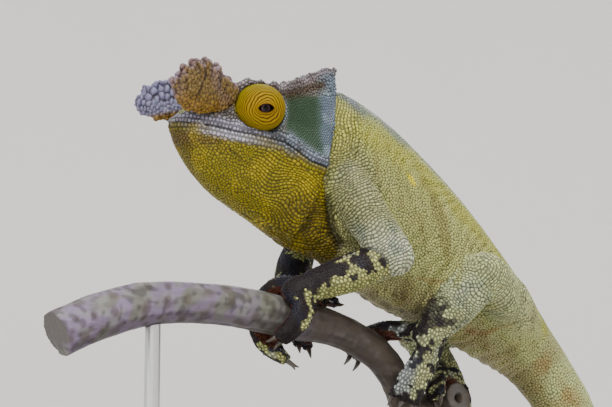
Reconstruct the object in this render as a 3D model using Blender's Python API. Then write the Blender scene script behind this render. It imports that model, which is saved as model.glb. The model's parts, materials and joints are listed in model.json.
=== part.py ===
# A life-size Parson's chameleon gripping a cut length of branch, on a plain display stand.
# The animal faces -X with its left side towards -Y. Lengths are in millimetres until a mesh is
# made, which is in metres. The origin is the centre of the stand's underside.

import math
import random

import bmesh
import bpy
import numpy as np

MM = 0.001
GAP = 0.3                    # room that touching pieces keep
DATUM = (-15.0, 0.0, 196.0)  # the shapes' own zero, behind the jaw's corner, from the origin
SEED = 7
SIDES = {"left": -1, "right": 1}
SAMPLES_PER_STOP = 40        # fine points between two stops of a curve, before it is evened out
LINE_SAMPLES = 200           # points along a branch where a foot is set on it
END_DOME = (35, 66)          # degrees up a limb's rounded end at which it has a ring

# The head: its rear face leans back, and every other slice leans less and less towards the snout.
SNOUT_Z = 32.0
REAR_X = 4.0
REAR_LEAN = 0.31
LEAN_FROM = -40.0
SNOUT_X = -72.0
HEAD_SLICES = 22
SLICE_CROWDING = (0.35, 1.7)   # share of the slices' spacing that is even, and the power of the rest
LEAN_ROUNDS = 30               # rounds of refining the slice that a point lies on

# Lines that run from the snout to the rear face, as (x, half-width, z).
CROWN = [(-71.6, 0, 33.0), (-66, 0, 37.0), (-56, 0, 42.0), (-46, 0, 46.0), (-36, 0, 47.5), (-24, 0, 48.5),
         (-8, 0, 55.0), (4, 0, 62.0), (13.9, 0, 64.2)]
CREST = [(-71.6, 1.6, 32.9), (-66, 6.5, 37.0), (-57, 10.0, 43.0), (-48, 12.4, 49.0), (-40, 14.6, 51.6),
         (-31, 16.2, 51.2), (-24, 16.0, 50.6), (-18, 15.2, 53.4), (-9, 12.8, 57.4), (2, 9.0, 62.2),
         (9.5, 6.4, 65.2), (14.1, 4.2, 64.8)]
BAND = [(-71.6, 2.6, 32.5), (-66, 7.8, 34.8), (-57, 11.2, 38.0), (-48, 12.8, 42.0), (-40, 14.2, 45.0),
        (-31, 15.2, 45.4), (-23, 15.8, 43.6), (-15, 15.8, 44.4), (-5.5, 14.4, 47.0), (2, 13.0, 50.5),
        (11.3, 9.4, 55.6)]
CHEEK = [(-71.6, 3.0, 32.2), (-66, 8.3, 33.4), (-57, 11.9, 34.4), (-46, 14.2, 35.2), (-34, 16.0, 35.6),
         (-22, 16.8, 34.6), (-12, 15.8, 33.6), (-2.4, 16.0, 33.2), (5.2, 17.6, 36.0)]
LABIAL = [(-71.6, 3.2, 31.9), (-66.8, 8.2, 32.0), (-57, 12.4, 31.7), (-48.7, 14.6, 30.9),
          (-34.2, 17.6, 28.6), (-23.1, 19.3, 26.4), (-13, 20.2, 21.2), (-4, 20.9, 18.6), (-0.6, 21.2, 17.2)]
MOUTH = [(-71.8, 3.0, 31.0), (-67.6, 8.3, 30.5), (-57.5, 12.4, 29.3), (-49.6, 14.9, 27.8),
         (-36.9, 17.6, 26.1), (-23.7, 19.6, 24.0), (-16.6, 20.6, 19.6), (-10.9, 21.1, 16.4),
         (-1.6, 21.3, 14.0)]
JAW_SIDE = [(-71.8, 2.7, 29.8), (-67.6, 6.8, 25.0), (-60, 10.4, 20.3), (-50, 13.6, 17.0), (-38, 15.8, 14.0),
            (-25, 17.6, 9.5), (-13, 18.6, 4.0), (-5.2, 18.8, 2.0)]
GULAR = [(-71.8, 1.6, 29.2), (-68.0, 4.4, 22.5), (-60.4, 6.9, 13.0), (-50, 9.6, 6.0), (-38, 11.4, 0.5),
         (-25, 13.0, -5.2), (-15, 14.0, -9.6), (-9.6, 14.2, -12.0)]
THROAT = [(-71.8, 0, 29.0), (-68.6, 0, 22.4), (-64, 0, 15.2), (-58.8, 0, 8.8), (-52.7, 0, 2.8),
          (-40.5, 0, -4.8), (-26.7, 0, -12.0), (-19.8, 0, -15.8), (-12.4, 0, -20.8)]
LIP_PROUD = (0.9, 0.63)   # how far the upper and the lower lip swell out past the line of the mouth
LIP_FADE = (6.0, 0.25)    # length over which the lips grow to full size from the snout, and their least share
LIP_GROOVE = 0.8     # how far the line of the mouth lies in
UPPER_LIP = 1.6      # height of the upper lip's fullest part above the line
LOWER_LIP = (1.9, 4.6)    # drop to the lower lip's fullest part, and to the crease below it
CREASE = (0.45, 0.5)      # the crease's share of the way out to the jaw's side, and how far it lies in
JAW_SHOULDER = 0.28       # share of the crease in the line just above the jaw's side
GULAR_FULL = (0.7, -0.3)  # bulge, out and up, between the jaw's side and the throat's side
KEEL = (0.55, 0.3, 0.2)   # the throat's lowest slope: share of the side's half-width and height, and its sag
ROOF = (0.5, 0.45)        # hollow between crown and crest: share of the crest's half-width and height
CREST_HOLLOW = 0.3        # how far the flank lies in between the crest and the band below it

# The eye turrets: a dome turned about an axis that points out, forward and a little down.
EYE_SEAT = (-34.2, 13.4, 39.8)
EYE_APEX = (-37.4, 25.2, 37.4)
EYE_RADIUS = 11.2
EYE_SIDES = 20
EYE_SLIT = (1.0, 0.0, 0.14)                   # the way that the lids' opening runs
TURRET_FOOT = [(0.8, -3.4), (0.97, -1.6)]     # rings sunk in the head, as share of the radius and height
DOME_RISE = (0, 18, 36, 54, 70, 82)           # degrees up the dome at which it has a ring
DOME_ROUND = 0.9                              # under 1 makes the dome fuller
BALL_RADIUS = 4.2
LID = 1.3            # thickness of the lids over the eyeball
LID_OPENING = (3.4, 1.9)  # half-length and half-height of the opening
LID_SIDES = 12
LID_POINTED = 0.4         # above 0 draws the opening's corners to points
LID_SLOT = [(-2.1, 0.8), (0.6, 0.92), (4.0, 1.6)]   # height over the eyeball's top, and growth of the opening
NOSTRIL = ((-50.0, 13.4, 39.6), 1.2)

# The horns: a blade's lower and upper edge along the snout, as (x, lower z, upper z, half-thickness).
HORN = [(-45.5, 39.5, 48.5, 2.6), (-52, 36.6, 52.2, 3.5), (-58, 35.2, 55.2, 4.0), (-65, 34.6, 56.6, 4.2),
        (-71, 34.8, 55.6, 3.9), (-76, 36.6, 53.0, 3.3), (-79.4, 39.4, 49.4, 2.4), (-80.8, 42.6, 46.6, 1.1)]
HORN_OUT = (11.6, 17.4)   # half the distance between the blades, at the rear and at the tip
HORN_TILT = 0.24          # how much further out the upper edge stands, for each millimetre of height
HORN_MID_Z = 44.0
HORN_FOOT_Z = 34.8        # the height that a lower blade shrinks towards
HORN_SQUARE = 0.75         # under 1 flattens the blade's sides
# Lobes on the blade's edge, as (x, z, radius).
HORN_LOBES = [(-79.2, 46.4, 2.9), (-75.8, 52.0, 2.6), (-70.4, 55.0, 2.7), (-64.6, 56.0, 3.0),
              (-58.4, 54.4, 2.6), (-52.4, 50.8, 2.3), (-77.4, 40.4, 2.2), (-71.6, 36.4, 1.9)]
HORN_RISE = {"left": 1.0, "right": 0.8}   # the right blade is lower than the left
HORN_RINGS = 11
HORN_SIDES = 10
HORN_WARTS = 12
WART = (1.1, 1.8)         # least and greatest radius
WART_SINK = 0.5
WART_CLEAR = (1.5, 1.0)   # distance from the blade's lower and upper edge
WART_STRAY = 2.0          # how far a wart may stray along the blade
WART_LEAST_OUT = 0.1      # keeps warts near an edge from the blade's middle
CREST_KNOBS = 8
CREST_KNOBS_SPAN = (-41.0, 3.2)
KNOB = (0.9, 1.5)
KNOB_SINK = (0.3, 0.2)

# The trunk's stations from the nape to the tail's root, as back (x, z), belly (x, z) and half-width.
TRUNK = [((21, 55), (2, -24.5), 17.5), ((32, 50.5), (16, -31), 21), ((48, 41.5), (28, -38.5), 24),
         ((63.4, 30), (42, -46), 25.5), ((78.2, 17.6), (56, -51), 26), ((92.8, 4.2), (70, -55), 25),
         ((106.6, -9.2), (84, -60.5), 22), ((119.4, -22), (96, -67), 19.4),
         ((131.8, -35.4), (108, -72.5), 16.4), ((144, -49.8), (121, -78.5), 13.4),
         ((157, -65), (132, -87), 11.8), ((170.6, -82), (143, -99), 10.4)]
NAPE = (55.5, -21.2, 16.2)   # height of the neck's back and underside, and half-width, at the head
NECK_STATION = 1.0           # where the neck ends, counted in stations
TORSO_STATION = 10.0
TRUNK_SIDES = 24
TRUNK_RINGS_PER_STATION = 2
BACK_PINCH = 1.32            # above 1 narrows a section to a ridge
BELLY_PINCH = 0.86           # below 1 fills it out

# The tail curls under in its own plane, tighter and tighter.
TAIL_LENGTH = 186.0
TAIL_HEADING = -52.0
TAIL_BEND = (1 / 78.0, 1 / 8.0)
TAIL_TIP = (1.7, 1.5)        # half-height and half-width
TAIL_TAPER = 0.86
TAIL_RINGS = 38
TAIL_SIDES = 16
TAIL_CUTS = (0.16, 0.38, 0.64)
TAIL_CLEAR = 0.01            # no ring lies nearer to a cut than this share of the length
TAIL_STEPS = 900             # steps in which the curl is worked out

# The branch's centre line, as (x, y, z, radius), and the hollow stub beside its lower end.
BRANCH = [(-126, 0.0, -66.0, 10.8), (-118, 0.5, -62.3, 10.6), (-99, 1.0, -54.8, 10.0), (-80, 0.5, -50.8, 9.6),
          (-61, -0.5, -48.9, 9.4), (-41, -1.0, -50.0, 9.7), (-21, -0.5, -52.2, 10.1), (-6, 0, -54.6, 9.4),
          (13, 0.5, -57.8, 7.9), (29, 0.5, -63.2, 7.6), (44, 0, -72.4, 7.5), (52.4, 0, -83.5, 7.2),
          (57.4, 0, -97.0, 7.4), (61.5, 0, -112.0, 7.0)]
BRANCH_SIDES = 12
BRANCH_RINGS = 27
STUB_RINGS = 9
BRANCH_UNEVEN = 0.035        # how much the bark's radius wanders
BARK_WAVES = 7               # waves that make up the wander, each with
BARK_LOBES = (0, 3)          # this many lobes round the branch
BARK_DRIFT = (0.05, 0.5)     # and this turn from ring to ring
STUB = [(57.0, 1.0, -98.0, 8.0), (68, 5.5, -96.5, 7.6), (78, 6.0, -93.5, 7.5), (83.6, 0.5, -90.6, 7.6),
        (84.6, -6.5, -89.6, 7.8)]
STUB_PITH = (2.6, 1.8, 9.0)  # radius at the mouth and at the foot, and depth, of the hollow in its end
PITH_PROUD = 3.0             # how far the hollow's cutter stands out of the end
PITH_SIDES = 8

# Limbs, as (x, y, z, radius) from the root to the wrist or ankle.
ARM = {
    "left": [(13.5, -11, 12, 10.0), (17, -22, -4, 10.4), (25.4, -35, -26.6, 9.4), (12, -26, -33, 9.0),
             (-5, -13, -40, 7.4)],
    "right": [(13.5, 11, 12, 10.0), (17, 26, -2, 10.2), (22, 38, -15, 9.4), (11, 28, -28, 8.8),
              (1, 17, -40, 7.2)],
}
LEG = {
    "left": [(121, -9, -53, 11.5), (102, -22, -43, 12.0), (80, -32.5, -32, 11.0), (71, -28, -43, 10.4),
             (60, -20.5, -56, 8.8)],
    "right": [(121, 9, -53, 11.5), (104, 22, -52, 11.5), (88, 32, -56, 10.4), (90, 24, -66, 9.4),
              (91, 13, -77, 8.0)],
}
LIMB_BEND = 2                 # the elbow's or knee's place in the list
BEND_STEP = 1.8               # the lower part of a limb starts thinner than the upper one's end
LIMB_SIDES = 12
LIMB_RING_EVERY = 6.0

# Each foot: the palm as (x, y, z, radius), and two bundles of toes. A bundle is its number of toes
# and its path in the branch's own terms, as (distance along from the grip, degrees round from the
# top towards the animal's left, height of the toe's middle over the bark).
TOE_RADIUS = (4.7, 2.6)
TOE_SPACING = 5.0
TOE_SPREAD = (0.7, 1.08)      # toes stand closer at the palm than at their tips
TOE_POINTS = 29
TOE_KEPT = 4                  # every fourth point of a toe's line shapes its tube
TOE_SIDES = 7
TOE_RING_EVERY = 5.2
PALM_RING_EVERY = 4.0
CLAW_LENGTH = 5.4
CLAW_RADIUS = (1.6, 0.25)
CLAW_TAPER = 1.3
CLAW_BEND = 1.6
CLAW_SIDES = 6
CLAW_RINGS = 4
FEET = {
    "hand_left": dict(on="branch", grip=115.0, palm=[(-6, -13, -41, 7.4), (-12, -10.5, -43, 7.2)],
                      outer=(2, [(4, 46, 6.6), (2, 88, 5.0), (-1, 122, 4.2), (-4, 148, 4.2)]),
                      inner=(3, [(4, 14, 5.2), (1, -20, 4.4), (0, -70, 3.8), (0, -124, 4.4), (4, -156, 7.6),
                                 (9, -170, 10.2)])),
    "hand_right": dict(on="branch", grip=135.0, palm=[(1, 17, -41, 7.0), (5, 13, -45, 6.8)],
                       outer=(2, [(-3, -52, 6.6), (-1, -84, 4.6), (0, -116, 3.9), (-1, -148, 3.7)]),
                       inner=(3, [(-2, -36, 6), (0, -12, 4.6), (0, 12, 3.8), (0, 32, 3.7)])),
    "foot_left": dict(on="branch", grip=176.0, palm=[(60, -20, -57, 8.6), (57, -18, -61, 8.2)],
                      outer=(3, [(5, 46, 17.5), (9, 66, 11.5), (14, 98, 7.0), (21, 124, 4.8)]),
                      inner=(2, [(2, 32, 15.5), (-2, 16, 8.5), (-6, -20, 4.0), (-8, -74, 3.8),
                                 (-8, -114, 3.8)])),
    "foot_right": dict(on="stub", grip=29.0, palm=[(91, 12.5, -78, 7.8), (91, 9, -81, 7.4)],
                       outer=(3, [(0, -46, 7.6), (1, -70, 6.4), (1, -100, 4.8), (0, -134, 3.9)]),
                       inner=(2, [(0, -6, 6.0), (0, 26, 4.6), (0, 58, 4.2), (0, 84, 4.4)])),
}

PERCH = {"branch": BRANCH, "stub": STUB}

# The stand.
BASE_SIZE = (260.0, 150.0, 12.0)
BASE_CORNER = 18.0
BASE_BEVEL = 2.0
ROD_RADIUS = 3.5
ROD_AT = {"stand_rod_front": -80.0, "stand_rod_rear": 59.5}
ROD_SIDES = 16
ROD_SINK = 6.0               # how far a rod's blank reaches into the branch before it is cut back

FINISHES = {   # base colour, roughness, metallic
    "skin_green": ((0.30, 0.31, 0.10), 0.6, 0.0),
    "skin_throat": ((0.42, 0.32, 0.05), 0.55, 0.0),
    "skin_limb": ((0.30, 0.29, 0.16), 0.6, 0.0),
    "skin_turret": ((0.55, 0.33, 0.03), 0.5, 0.0),
    "skin_horn": ((0.27, 0.17, 0.09), 0.65, 0.0),
    "eye": ((0.02, 0.012, 0.015), 0.08, 0.0),
    "claw": ((0.10, 0.085, 0.075), 0.35, 0.0),
    "bark": ((0.17, 0.135, 0.12), 0.8, 0.0),
    "stand": ((0.07, 0.045, 0.03), 0.4, 0.0),
    "rod": ((0.36, 0.36, 0.37), 0.35, 1.0),
}

draw = random.Random(SEED)


# Scene and meshes

def clear_scene():
    for thing in list(bpy.data.objects):
        bpy.data.objects.remove(thing, do_unlink=True)


def new_collection(name):
    group = bpy.data.collections.new(name)
    bpy.context.scene.collection.children.link(group)
    return group


def finish_material(name):
    found = bpy.data.materials.get(name)
    if found:
        return found
    colour, roughness, metallic = FINISHES[name]
    material = bpy.data.materials.new(name)
    material.use_nodes = True
    shader = material.node_tree.nodes["Principled BSDF"]
    shader.inputs["Base Color"].default_value = (*colour, 1.0)
    shader.inputs["Roughness"].default_value = roughness
    shader.inputs["Metallic"].default_value = metallic
    return material


def solid(name, points, faces, group, finish=None):
    """One object from points in millimetres, with its faces turned outwards."""
    mesh = bpy.data.meshes.new(name)
    placed = (np.asarray(points, float) + DATUM) * MM
    mesh.from_pydata([tuple(p) for p in placed], [], faces)
    shape = bmesh.new()
    shape.from_mesh(mesh)
    bmesh.ops.recalc_face_normals(shape, faces=shape.faces)
    shape.to_mesh(mesh)
    shape.free()
    mesh.shade_smooth()
    thing = bpy.data.objects.new(name, mesh)
    group.objects.link(thing)
    if finish:
        mesh.materials.append(finish_material(finish))
    return thing


def keep_largest(mesh):
    """Leave only the closed surface that holds the most room."""
    shape = bmesh.new()
    shape.from_mesh(mesh)
    left = set(shape.faces)
    surfaces = []
    while left:
        edge_of_search = [left.pop()]
        surface = set(edge_of_search)
        while edge_of_search:
            face = edge_of_search.pop()
            for edge in face.edges:
                for other in edge.link_faces:
                    if other in left:
                        left.discard(other)
                        surface.add(other)
                        edge_of_search.append(other)
        surfaces.append(surface)
    if len(surfaces) > 1:
        def room(surface):
            total = 0.0
            for face in surface:
                corners = [v.co for v in face.verts]
                for b, c in zip(corners[1:], corners[2:]):
                    total += corners[0].dot(b.cross(c))
            return total
        largest = max(surfaces, key=room)
        dropped = [face for surface in surfaces if surface is not largest for face in surface]
        bmesh.ops.delete(shape, geom=dropped, context="FACES")
        shape.to_mesh(mesh)
    shape.free()


def boolean(thing, operation, others, solver="EXACT"):
    """Join other closed objects to this one, or cut them from it, and remove them."""
    tools = new_collection("tools_" + thing.name)
    for other in others:
        for group in list(other.users_collection):
            group.objects.unlink(other)
        tools.objects.link(other)
        other.hide_render = True
        other.display_type = "WIRE"
    step = thing.modifiers.new(operation.lower(), "BOOLEAN")
    step.operation = operation
    step.operand_type = "COLLECTION"
    step.collection = tools
    step.solver = solver
    seen = thing.evaluated_get(bpy.context.evaluated_depsgraph_get())
    result = bpy.data.meshes.new_from_object(seen)
    thing.modifiers.remove(step)
    thing.data = result
    result.shade_smooth()
    keep_largest(result)
    for other in others:
        bpy.data.objects.remove(other, do_unlink=True)
    bpy.data.collections.remove(tools)
    return thing


def swollen(thing, by=GAP):
    """A copy whose surface stands out by a gap, to cut that much room round the thing."""
    copy = thing.copy()
    copy.data = thing.data.copy()
    cutters.objects.link(copy)
    for vertex, normal in zip(copy.data.vertices, [v.normal.copy() for v in copy.data.vertices]):
        vertex.co += normal * (by * MM)
    return copy


# Curves through stops

def through(keys, values, at):
    """Values at given places, by cubic pieces through the keyed stops."""
    keys, values, at = np.asarray(keys, float), np.asarray(values, float), np.asarray(at, float)
    slopes = np.gradient(values, keys, axis=0)
    first = np.clip(np.searchsorted(keys, at, side="right") - 1, 0, len(keys) - 2)
    span = keys[first + 1] - keys[first]
    t = (at - keys[first]) / span
    if values.ndim > 1:
        t, span = t[..., None], span[..., None]
    return ((2 * t**3 - 3 * t**2 + 1) * values[first] + (t**3 - 2 * t**2 + t) * span * slopes[first]
            + (3 * t**2 - 2 * t**3) * values[first + 1] + (t**3 - t**2) * span * slopes[first + 1])


def smooth_path(stops, count):
    """Evenly spaced points (with any further values) on a smooth curve through the stops."""
    stops = np.asarray(stops, float)
    keys = np.concatenate([[0], np.cumsum(np.linalg.norm(np.diff(stops[:, :3], axis=0), axis=1))])
    fine = through(keys, stops, np.linspace(0, keys[-1], SAMPLES_PER_STOP * len(stops)))
    run = np.concatenate([[0], np.cumsum(np.linalg.norm(np.diff(fine[:, :3], axis=0), axis=1))])
    even = np.linspace(0, run[-1], count)
    return np.stack([np.interp(even, run, column) for column in fine.T], axis=1)


def unit(v):
    v = np.asarray(v, float)
    return v / np.linalg.norm(v, axis=-1, keepdims=True)


def frames(points, first_side):
    """A forward, side and upward direction at each point, carried along without twisting."""
    forward = unit(np.gradient(points, axis=0))
    side = np.zeros_like(forward)
    carried = np.asarray(first_side, float)
    for i, ahead in enumerate(forward):
        carried = unit(carried - ahead * carried.dot(ahead))
        side[i] = carried
    return forward, side, np.cross(side, forward)


# Lofts

def loft(name, rings, group, finish=None):
    """A closed skin over rings of equal count, with a fan of faces over each end."""
    rings = [np.asarray(r, float) for r in rings]
    count = len(rings[0])
    points = np.vstack(rings + [rings[0].mean(axis=0)[None], rings[-1].mean(axis=0)[None]])
    faces = []
    for k in range(len(rings) - 1):
        a, b = k * count, (k + 1) * count
        faces += [(a + i, a + (i + 1) % count, b + (i + 1) % count, b + i) for i in range(count)]
    first_hub, last_hub = len(rings) * count, len(rings) * count + 1
    last = (len(rings) - 1) * count
    faces += [((i + 1) % count, i, first_hub) for i in range(count)]
    faces += [(last + i, last + (i + 1) % count, last_hub) for i in range(count)]
    return solid(name, points, faces, group, finish)


def round_ring(centre, side, up, radius, sides):
    turn = np.arange(sides) * 2 * math.pi / sides
    return centre + radius * (np.cos(turn)[:, None] * up + np.sin(turn)[:, None] * side)


def dome_rings(stop, outward, side, up, sides):
    """Two shrinking rings that round off a limb's end."""
    rings = []
    for degrees in END_DOME:
        centre = stop[:3] + outward * stop[3] * math.sin(math.radians(degrees))
        rings.append(round_ring(centre, side, up, stop[3] * math.cos(math.radians(degrees)), sides))
    return rings


def tube(name, stops, sides, every, group, finish=None, domes=(True, True)):
    """A round limb through (x, y, z, radius) stops, with its ends domed or flat."""
    length = np.linalg.norm(np.diff(np.asarray(stops)[:, :3], axis=0), axis=1).sum()
    path = smooth_path(stops, max(4, round(length / every) + 1))
    forward, side, up = frames(path[:, :3], (1, 0, 0))
    rings = [round_ring(p[:3], s, u, p[3], sides) for p, s, u in zip(path, side, up)]
    if domes[0]:
        rings = dome_rings(path[0], -forward[0], side[0], up[0], sides)[::-1] + rings
    if domes[1]:
        rings += dome_rings(path[-1], forward[-1], side[-1], up[-1], sides)
    return loft(name, rings, group, finish)


def ball(name, centre, radius, group, detail=1, finish=None):
    shape = bmesh.new()
    bmesh.ops.create_icosphere(shape, subdivisions=detail, radius=radius)
    points = [tuple(np.asarray(v.co) + centre) for v in shape.verts]
    faces = [tuple(v.index for v in f.verts) for f in shape.faces]
    shape.free()
    return solid(name, points, faces, group, finish)


# Head

def lean(s):
    return REAR_LEAN * np.clip((s - LEAN_FROM) / (REAR_X - LEAN_FROM), 0, 1) ** 2


def slice_of(x, z):
    """The slice, named by its place at the snout's height, that a point lies on."""
    s = x
    for _ in range(LEAN_ROUNDS):
        s = x - float(lean(s)) * (z - SNOUT_Z)
    return s


def head_line(stops, slices):
    """Half-width and height of a named line at each slice."""
    keys = [slice_of(x, z) for x, _, z in stops]
    keys[0], keys[-1] = SNOUT_X, REAR_X
    return through(keys, [(y, z) for _, y, z in stops], slices)


def head_slices():
    t = np.linspace(0, 1, HEAD_SLICES)
    even, power = SLICE_CROWDING
    return SNOUT_X + (REAR_X - SNOUT_X) * (even * t + (1 - even) * t**power)


def head_rings(upper):
    """Slices of the head above the line of the mouth, or of the jaw and throat below it."""
    slices = head_slices()
    mouth = head_line(MOUTH, slices)
    opening = np.clip((slices - SNOUT_X) / LIP_FADE[0], LIP_FADE[1], 1)[:, None]
    edge = mouth - opening * (LIP_GROOVE, 0)
    if upper:
        crest, band = head_line(CREST, slices), head_line(BAND, slices)
        crown, cheek, labial = head_line(CROWN, slices), head_line(CHEEK, slices), head_line(LABIAL, slices)
        roof = crown * (1, 1 - ROOF[1]) + crest * ROOF
        lip = mouth + opening * (LIP_PROUD[0], UPPER_LIP)
        side = [crown, roof, crest, (crest + band) / 2 - (CREST_HOLLOW, 0), band, (band + cheek) / 2, cheek,
                (cheek + labial) / 2, labial, lip, edge + (0, GAP / 2)]
    else:
        jaw, gular, throat = head_line(JAW_SIDE, slices), head_line(GULAR, slices), head_line(THROAT, slices)
        lip = mouth + opening * (LIP_PROUD[1], -LOWER_LIP[0])
        out, sunk = CREASE
        crease = mouth * (1 - out, 1) + jaw * (out, 0) - opening * (sunk, LOWER_LIP[1])
        keel = gular * KEEL[:2] + throat * (0, 1 - KEEL[1]) - (0, KEEL[2])
        side = [edge - (0, GAP / 2), lip, crease, jaw * (1 - JAW_SHOULDER) + crease * JAW_SHOULDER, jaw,
                (jaw + gular) / 2 + GULAR_FULL, gular, keel, throat]
    rings = []
    for i, s in enumerate(slices):
        half = [(row[i][0], row[i][1]) for row in side]
        left = [(s + float(lean(s)) * (z - SNOUT_Z), -y, z) for y, z in half]
        right = [(x, -y, z) for x, y, z in reversed(left) if y]
        rings.append(left + right)
    return rings


def crest_knobs(side):
    """Low tubercles along the ridge from over the eye to the casque's peak."""
    slices = np.linspace(*CREST_KNOBS_SPAN, CREST_KNOBS)
    for s, (y, z) in zip(slices, head_line(CREST, slices)):
        radius = draw.uniform(*KNOB)
        x = s + float(lean(s)) * (z - SNOUT_Z)
        yield ball("knob", (x, side * (y - KNOB_SINK[0]), z - KNOB_SINK[1]), radius, cutters)


def turret_profile():
    """Radius and height of the dome from its sunk foot to its top."""
    height = np.linalg.norm(np.subtract(EYE_APEX, EYE_SEAT))
    rise = [math.radians(a) for a in DOME_RISE]
    dome = [(EYE_RADIUS * math.cos(a) ** DOME_ROUND, height * math.sin(a)) for a in rise]
    return [(EYE_RADIUS * share, depth) for share, depth in TURRET_FOOT] + dome


def eye_frame(side):
    seat = np.multiply(EYE_SEAT, (1, side, 1))
    apex = np.multiply(EYE_APEX, (1, side, 1))
    axis = unit(apex - seat)
    along = unit(EYE_SLIT - axis * np.dot(EYE_SLIT, axis))
    return seat, apex, axis, along, np.cross(axis, along)


def lid_slot(middle, axis, along, across):
    """The cutter that opens the lids in front of the eyeball."""
    turn = np.arange(LID_SIDES) * 2 * math.pi / LID_SIDES
    across_opening = np.sin(turn) * np.abs(np.sin(turn)) ** LID_POINTED * LID_OPENING[1]
    flat = np.outer(np.cos(turn) * LID_OPENING[0], along) + np.outer(across_opening, across)
    return loft("slot", [middle + axis * (BALL_RADIUS + h) + flat * grow for h, grow in LID_SLOT], cutters)


def make_head():
    """The head, jaw, eye turrets and eyeballs. It gives back the uncut head, swollen by a gap."""
    head = loft("head", head_rings(True), body, "skin_green")
    loft("jaw", head_rings(False), body, "skin_throat")
    blank = swollen(head)
    knobs, pits = [], []
    for word, side in SIDES.items():
        seat, apex, axis, along, across = eye_frame(side)
        rings = [round_ring(seat + axis * h, along, across, r, EYE_SIDES) for r, h in turret_profile()]
        turret = loft("eye_turret_" + word, rings, body, "skin_turret")
        pits.append(swollen(turret))
        middle = apex - axis * (LID + GAP + BALL_RADIUS)
        room = ball("room", middle, BALL_RADIUS + GAP, cutters, 2)
        boolean(turret, "DIFFERENCE", [room, lid_slot(middle, axis, along, across)])
        ball("eyeball_" + word, middle, BALL_RADIUS, body, 2, "eye")
        place, radius = NOSTRIL
        pits.append(ball("nostril", np.multiply(place, (1, side, 1)), radius, cutters))
        knobs += crest_knobs(side)
    boolean(head, "UNION", knobs)
    boolean(head, "DIFFERENCE", pits)
    return blank


def horn_out(x, z):
    """How far out from the middle plane a blade's own middle plane stands."""
    rear, tip = HORN[0][0], HORN[-1][0]
    ahead = (x - rear) / (tip - rear)
    return HORN_OUT[0] + (HORN_OUT[1] - HORN_OUT[0]) * ahead + HORN_TILT * (z - HORN_MID_Z)


def horn_wart(row, side):
    """A wart set at random on a blade's flank, more often on the outer one."""
    x, low, high, thick = row
    z = draw.uniform(low + WART_CLEAR[0], high - WART_CLEAR[1])
    off_middle = (2 * z - low - high) / (high - low)
    out = draw.choice((-1, 1, 1)) * (thick - WART_SINK) * math.sqrt(max(WART_LEAST_OUT, 1 - off_middle**2))
    place = (x + draw.uniform(-WART_STRAY, WART_STRAY), side * (horn_out(x, z) + out), z)
    return ball("wart", place, draw.uniform(*WART), cutters)


def make_horn(word, side, head_blank):
    def lowered(z):
        return HORN_FOOT_Z + (z - HORN_FOOT_Z) * HORN_RISE[word]

    rows = smooth_path([(x, lowered(low), lowered(high), thick) for x, low, high, thick in HORN], HORN_RINGS)
    turn = np.arange(HORN_SIDES) * 2 * math.pi / HORN_SIDES
    rings = []
    for x, low, high, thick in rows:
        z = (low + high) / 2 + (high - low) / 2 * np.cos(turn)
        y = horn_out(x, z) + thick * np.sign(np.sin(turn)) * np.abs(np.sin(turn)) ** HORN_SQUARE
        rings.append(np.stack([np.full_like(z, x), side * y, z], axis=1))
    horn = loft("horn_" + word, rings, body, "skin_horn")
    lumps = []
    for x, z, radius in HORN_LOBES:
        z = lowered(z)
        lumps.append(ball("lobe", (x, side * horn_out(x, z), z), radius, cutters, 2))
    for _ in range(HORN_WARTS):
        lumps.append(horn_wart(rows[draw.randrange(2, HORN_RINGS - 1)], side))
    boolean(horn, "UNION", lumps)
    boolean(horn, "DIFFERENCE", [swollen(head_blank, 0.0)])


# Neck, trunk and tail

def oval(back, belly, half_width, sides):
    """A section between a back point and a belly point in the animal's middle plane."""
    back, belly = np.asarray(back, float), np.asarray(belly, float)
    turn = np.arange(sides) * 2 * math.pi / sides
    middle, reach = (back + belly) / 2, (back - belly) / 2
    pinch = np.where(np.cos(turn) > 0, BACK_PINCH, BELLY_PINCH)
    y = half_width * np.sign(np.sin(turn)) * np.abs(np.sin(turn)) ** (1 + (pinch - 1) * np.abs(np.cos(turn)))
    flat = middle + np.cos(turn)[:, None] * reach
    return np.stack([flat[:, 0], -y, flat[:, 1]], axis=1)


def rear_x(z):
    return REAR_X + REAR_LEAN * (z - SNOUT_Z)


def trunk_stations():
    top, bottom, half_width = NAPE
    step = GAP * math.hypot(1, REAR_LEAN)
    first = (rear_x(top) + step, top, rear_x(bottom) + step, bottom, half_width)
    return np.array([first] + [(*back, *belly, w) for back, belly, w in TRUNK])


def trunk_ring(station, shift=0.0):
    """The section at a station's number, moved along the trunk by a small shift."""
    rows = trunk_stations()
    bx, bz, vx, vz, w = through(np.arange(len(rows)), rows, np.array([station]))[0]
    across = np.array([bx - vx, bz - vz])
    along = unit(np.array([across[1], -across[0]]))
    return oval(np.array([bx, bz]) + along * shift, np.array([vx, vz]) + along * shift, w, TRUNK_SIDES)


def tail_line():
    """Centre, direction, half-height and half-width along the curled tail."""
    (bx, bz), (vx, vz), root_width = TRUNK[-1]
    root_height = math.hypot(bx - vx, bz - vz) / 2
    s = np.linspace(0, TAIL_LENGTH, TAIL_STEPS)
    growth = math.log(TAIL_BEND[1] / TAIL_BEND[0]) / TAIL_LENGTH
    heading = math.radians(TAIL_HEADING) - TAIL_BEND[0] / growth * (np.exp(growth * s) - 1)
    step = TAIL_LENGTH / (TAIL_STEPS - 1)
    x = (bx + vx) / 2 + np.concatenate([[0], np.cumsum(np.cos(heading[:-1]) * step)])
    z = (bz + vz) / 2 + np.concatenate([[0], np.cumsum(np.sin(heading[:-1]) * step)])
    fade = (1 - s / TAIL_LENGTH) ** TAIL_TAPER
    high = TAIL_TIP[0] + (root_height - TAIL_TIP[0]) * fade
    wide = TAIL_TIP[1] + (root_width - TAIL_TIP[1]) * fade
    return s, np.stack([x, z, np.cos(heading), np.sin(heading), high, wide], axis=1)


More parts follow.
